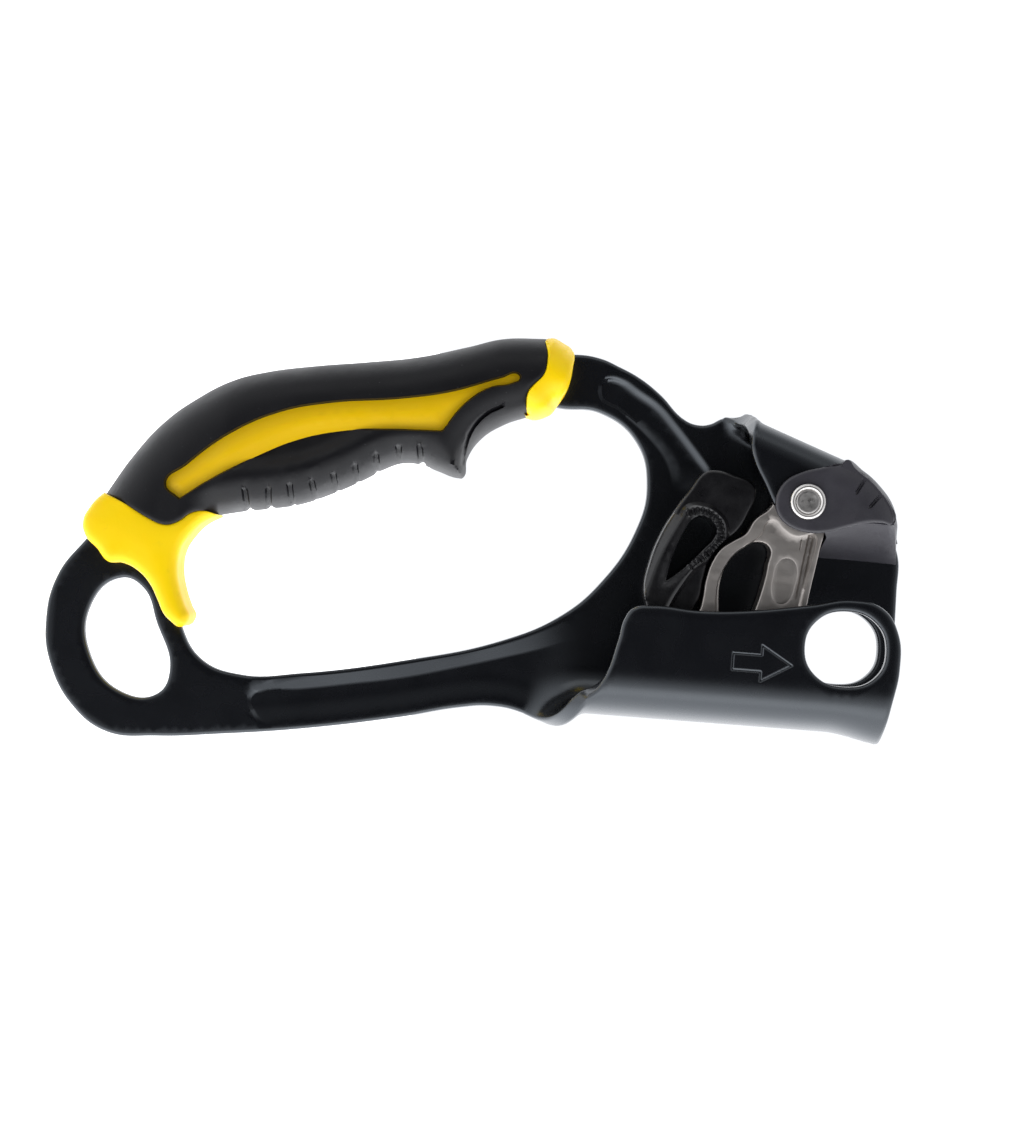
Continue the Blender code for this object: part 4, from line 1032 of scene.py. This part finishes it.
def build_cam():
    hub = [*arc(AXLE, 7.2, (-80, -115, -150, 175, 140, 105, 75, 48))]
    right = [(-25.2, 3.3), (-12.0, 1.6), (-1.5, 1.4)]
    low, high = [math.radians(a) for a in CAM_FACE_ANGLES]
    face = [cam_face(a, CAM_REACH) for a in np.linspace(low, high, 8)]
    lug = [(-1.8, -26.5), (-5.5, -28.9), (-9.0, -29.5), (-12.2, -27.6)]
    outer = path(hub + right + face + lug + CAM_LEFT, step=0.6)
    window = path(CAM_WINDOW, step=0.5)
    web = path(CAM_WEB, step=0.6)
    groove = open_path(CAM_GROOVE, step=0.6)
    badge = path(BADGE, step=0.5)
    tick = open_path(CAM_TICK, step=0.4)

    def face_height(points, edge):
        height = 5.5 - rim_drop(edge, 0.35)
        near_hub = smooth_ramp((6.0 - np.linalg.norm(points - np.array((-34.0, -2.5)), axis=1)) / 3.0)
        height -= 0.5 * smooth_ramp(depth_inside(points, web) / (0.3 + 0.8 * near_hub))
        fade = 0.35 + 0.65 * smooth_ramp((-17.0 - points[:, 0]) / 9.0)
        height -= 0.9 * fade * stroke(points, groove, 0.75)
        height -= 0.2 * stroke(points, tick, 0.2)
        return height - 0.07 * stroke(points, badge, 0.18, closed=True)

    lines = [np.vstack([web, web[:1]]), np.vstack([badge, badge[:1]]), tick]
    lines += [inset(turned_way(web, True), gap) for gap in (0.3, 1.1)]
    lines += beside(groove, (0.3, 0.78)) + beside(badge, (0.17,), closed=True) + beside(tick, (0.2,))
    cam = plate_solid("cam_casting", [outer, window], (0.06, 0.18, 0.35), 1.0, face_height,
                      lambda p, e: -face_height(p, e), lines)
    for centre, radius, y_low, y_high, operation in (
            (AXLE, 5.2, -6.2, 0.0, "UNION"),            # hub
            (AXLE, 7.6, 0.6, 9.0, "DIFFERENCE"),        # room for the spring
            (AXLE, 4.2, 0.0, 6.2, "UNION"),             # sleeve inside the spring
            (AXLE, AXLE_BORE, -9.0, 9.0, "DIFFERENCE"),
            (PIN, 5.9, -9.0, -3.2, "DIFFERENCE"),       # the trigger's fork, in front
            (PIN, 5.9, 0.9, 9.0, "DIFFERENCE"),         # and behind
            (PIN, PIN_BORE, -9.0, 9.0, "DIFFERENCE")):
        combine(cam, rod_tool(centre, radius, y_low, y_high), operation)
    attach(cam, "cam", CAST, "cast_steel", "cam")
    build_teeth(low, high)


def build_teeth(low, high):
    """Rows of small spikes across the cam's face, leaning the way the load comes."""
    work = bmesh.new()
    rows = 13
    for row in range(rows):
        angle = low + (high - low) * (row + 0.5) / rows
        x, z = cam_face(angle, CAM_REACH)
        out = Vector((math.cos(angle), 0.25, -math.sin(angle) + 0.35)).normalized()
        columns = 5 if row % 2 else 4
        for column in range(columns):
            y = (column - (columns - 1) / 2) * 2.1
            lean = Vector((out.x, 0.0, out.z)).normalized()
            turn = lean.to_track_quat("Z", "Y").to_matrix().to_4x4()
            spot = Matrix.Translation(Vector((x + 0.25 * lean.x, y, z + 0.25 * lean.z)) * MM)
            bmesh.ops.create_cone(work, cap_ends=True, segments=10, radius1=0.85 * MM, radius2=0.12 * MM,
                                  depth=1.3 * MM, matrix=spot @ turn)
    mesh = bpy.data.meshes.new("cam_teeth")
    work.to_mesh(mesh)
    work.free()
    attach(finish_piece(mesh, "cam_teeth"), "cam", CAST, "cast_steel")


TRIGGER_CAM_SIDE = [
    (-44.6, -22.2), (-45.2, -20.0), (-44.4, -15.7), (-42.6, -11.2), (-40.3, -10.8), (-36.9, -11.9),
    (-32.4, -14.2), (-29.2, -17.6), (-25.9, -19.7), (-21.3, -20.8), (-17.0, -21.4), (-15.3, -22.3)
]
TRIGGER_OUTER = [
    (-13.5, -32.3), (-18.0, -33.6), (-24.6, -32.7), (-30.2, -30.9), (-35.8, -28.1), (-40.4, -25.2),
    (-44.0, -22.8)
]
FINGER_HOLE = [
    (-34.9, -21.6), (-34.3, -23.9), (-31.7, -25.6), (-26.5, -27.6), (-20.4, -28.9, "c"), (-23.5, -25.3),
    (-28.3, -21.0), (-30.2, -19.4), (-32.6, -18.9)
]
TRIGGER_RIDGE = [(-12.0, -33.9), (-15.3, -33.4), (-21.8, -32.0), (-27.5, -30.0), (-34.6, -26.5)]
TRIGGER_BAND = [
    (-34.6, -26.5), (-36.6, -25.4), (-37.2, -22.1), (-35.7, -18.6), (-33.5, -16.9), (-31.0, -16.7),
    (-28.5, -17.8), (-25.9, -20.0), (-23.5, -22.9), (-19.3, -25.7), (-15.1, -27.8), (-11.0, -29.0)
]
RIBS = [
    (-35.5, -25.2), (-36.0, -22.1), (-34.8, -19.3), (-32.8, -18.0), (-30.2, -17.9), (-27.9, -19.3),
    (-26.0, -21.6), (-23.9, -24.2)
]


def build_trigger():
    fork = [*arc(PIN, 5.3, (158, 125, 90, 55, 10, -40, -85))]
    outer = path(TRIGGER_CAM_SIDE + fork + TRIGGER_OUTER[:-1], step=0.6)
    hole = path(FINGER_HOLE, step=0.5)
    ridge = open_path(TRIGGER_RIDGE, step=0.6)
    band = open_path(TRIGGER_BAND, step=0.6)
    high = np.vstack([ridge, band[1:]])
    rib_row = open_path(RIBS, step=1.9)
    along = directions(rib_row)
    across = np.stack([along[:, 1], -along[:, 0]], axis=1)
    ribs = [np.array([spot - wide * 0.55, spot + wide * 0.55]) for spot, wide in zip(rib_row, across)]
    cluster = [np.array([spot + a * i * 0.22 + c * j * 0.22 for i in range(-3, 4) for j in range(-5, 6)])
               for spot, a, c in zip(rib_row, along, across)]

    def face_height(points, edge):
        to_ridge = distance_to(points, ridge)
        to_band = distance_to(points, band)
        on_top = inside(points, [high])
        bevel = np.where(to_ridge < to_band, 0.85 * to_ridge, 1.1 * smooth_ramp(to_band / 0.8))
        height = 5.8 - np.where(on_top, 0.0, np.minimum(bevel, 3.0))
        height -= rim_drop(edge, 0.6)
        to_hole = distance_to(points, hole, closed=True)
        height -= 0.45 * np.where(on_top, 1 - np.exp(-to_hole ** 2), 0.0)
        height += 0.5 * np.where(on_top, np.exp(-(np.minimum(to_ridge, to_band) / 0.35) ** 2) * 0.6, 0.0)
        for rib in ribs:
            height += 0.42 * stroke(points, rib, 0.42)
        return np.minimum(height, 5.8)

    lines = [ridge, band] + [inset(turned_way(high, True), gap) for gap in (-0.8, 0.35, 0.8)]
    trigger = plate_solid("trigger_lever", [outer, hole], (0.08, 0.28, 0.6), 0.9, face_height,
                          lambda p, e: -face_height(p, e), lines, cluster)
    combine(trigger, rod_tool(PIN, 6.4, -3.5, 3.6), "DIFFERENCE")
    combine(trigger, rod_tool(PIN, PIN_BORE, -9.0, 9.0), "DIFFERENCE")
    attach(trigger, "trigger", TRIGGER_PLASTIC, "black_plastic", "safety_trigger")
    end = [(1.5, 5.3), (1.42, 5.5), (1.2, 5.6), (0.0, 5.6)]
    profile = [(radius, -y) for radius, y in end[::-1]] + end
    attach(turned_solid("pin", PIN, profile, steps=48), "cam", RIVET, "rivet_steel", "trigger_pin")


def build_coil(name, centre, radius, wire, y_start, pitch, turns, start_angle, leg, body, node):
    """A torsion spring around Y, with a straight leg at each end."""
    steps = 40
    helix = []
    for i in range(int(turns * steps) + 1):
        angle = start_angle + 2 * math.pi * i / steps
        helix.append(Vector((centre.x + radius * math.cos(angle), y_start + pitch * i / steps,
                             centre.y + radius * math.sin(angle))))
    first = helix[0] + (helix[0] - helix[1]).normalized() * leg
    last = helix[-1] + (helix[-1] - helix[-2]).normalized() * leg
    curve = bpy.data.curves.new(name, "CURVE")
    curve.dimensions = "3D"
    curve.bevel_depth = wire / 2 * MM
    curve.bevel_resolution = 4
    curve.use_fill_caps = True
    spline = curve.splines.new("POLY")
    points = [first] + helix + [last]
    spline.points.add(len(points) - 1)
    for knot, point in zip(spline.points, points):
        knot.co = (*(point * MM), 1.0)
    obj = bpy.data.objects.new(name, curve)
    bpy.context.scene.collection.objects.link(obj)
    attach(obj, body, SPRING, "spring_steel", node)


# ---------------------------------------------------------------- stage, light and camera

def build_stage():
    bpy.ops.mesh.primitive_plane_add(size=6.0, location=(0.0, 0.0, cad_low[2] - 0.0005))
    floor = bpy.context.object
    floor.name = "floor"
    floor.data.materials.append(material("floor", (0.9, 0.9, 0.9), 0.9,
                                         Emission_Color=(1.0, 1.0, 1.0, 1.0), Emission_Strength=0.7))
    floor.visible_diffuse = False
    floor.visible_glossy = False


WORLD_RAMPS = (
    ("X", 0.15, 1.0, 2.85, "LINEAR"), ("X", -0.2, -1.0, 0.5, "LINEAR"), ("Z", 0.25, 1.0, 1.0, "LINEAR"),
    ("Z", -0.2, -1.0, 1.9, "LINEAR"), ("Y", -0.1, 0.6, 1.2, "SMOOTHSTEP")
)


def build_world():
    """A studio that is brightest past the rope channel, and plain white where the camera sees it."""
    bpy.context.scene.view_settings.view_transform = "Standard"
    world = bpy.data.worlds.new("studio")
    bpy.context.scene.world = world
    world.use_nodes = True
    tree = world.node_tree
    back = tree.nodes["Background"].inputs
    way = add_node(tree, "ShaderNodeTexCoord", "Generated", {})
    split = tree.nodes.new("ShaderNodeSeparateXYZ")
    tree.links.new(way, split.inputs["Vector"])
    total = 0.03
    for axis, start, end, amount, kind in WORLD_RAMPS:
        ramp = ranged(tree, split.outputs[axis], start, end, 0.0, amount, kind)
        total = add_node(tree, "ShaderNodeMath", "Value", {0: ramp, 1: total})
    seen = add_node(tree, "ShaderNodeLightPath", "Is Camera Ray", {})
    pick = add_node(tree, "ShaderNodeMix", "Result", {"Factor": seen, "A": total, "B": 1.05})
    tree.links.new(pick, back["Strength"])
    back["Color"].default_value = (0.975, 0.99, 1.02, 1.0)


def build_light(name, location, target, size, power):
    data = bpy.data.lights.new(name, "AREA")
    data.shape = "RECTANGLE"
    data.size = size[0]
    data.size_y = size[1]
    data.energy = power
    obj = bpy.data.objects.new(name, data)
    bpy.context.scene.collection.objects.link(obj)
    obj.location = location
    aim = Vector(target) - Vector(location)
    obj.rotation_euler = aim.to_track_quat("-Z", "Y").to_euler()


def build_camera():
    data = bpy.data.cameras.new("camera")
    data.lens = 100.6
    data.sensor_width = 36.0
    data.sensor_fit = "AUTO"
    data.clip_start = 0.05
    data.clip_end = 50.0
    obj = bpy.data.objects.new("camera", data)
    bpy.context.scene.collection.objects.link(obj)
    roll = math.radians(4.4)
    right = Vector((-math.sin(roll), 0.0, math.cos(roll)))
    up = Vector((-math.cos(roll), 0.0, -math.sin(roll)))
    back = right.cross(up)
    turn = Matrix((right, up, back)).transposed()
    obj.matrix_world = Matrix.Translation((-0.0211, -0.6935, -0.0628)) @ turn.to_4x4()
    bpy.context.scene.camera = obj


build_camera()
build_plate()
build_rubber()
build_inlays()
build_guards()
build_collars()
build_cap()
build_axle()
build_cam()
build_trigger()
build_coil("cam_torsion_spring", AXLE, 5.6, 1.1, 1.5, 1.2, 3.25, -0.4, 2.8, "body", "cam_spring")
build_coil("trigger_torsion_spring", PIN, 2.6, 0.7, 1.5, 0.75, 2.25, 1.0, 1.6, "cam", "trigger_spring")
build_stage()
build_world()
CENTRE = (-0.024, 0.004, -0.07)
build_light("near_side_box", (0.75, -0.6, -0.07), CENTRE, (0.35, 0.9), 1.2)
build_light("far_side_box", (-0.8, -0.45, -0.1), CENTRE, (0.35, 0.8), 0.8)
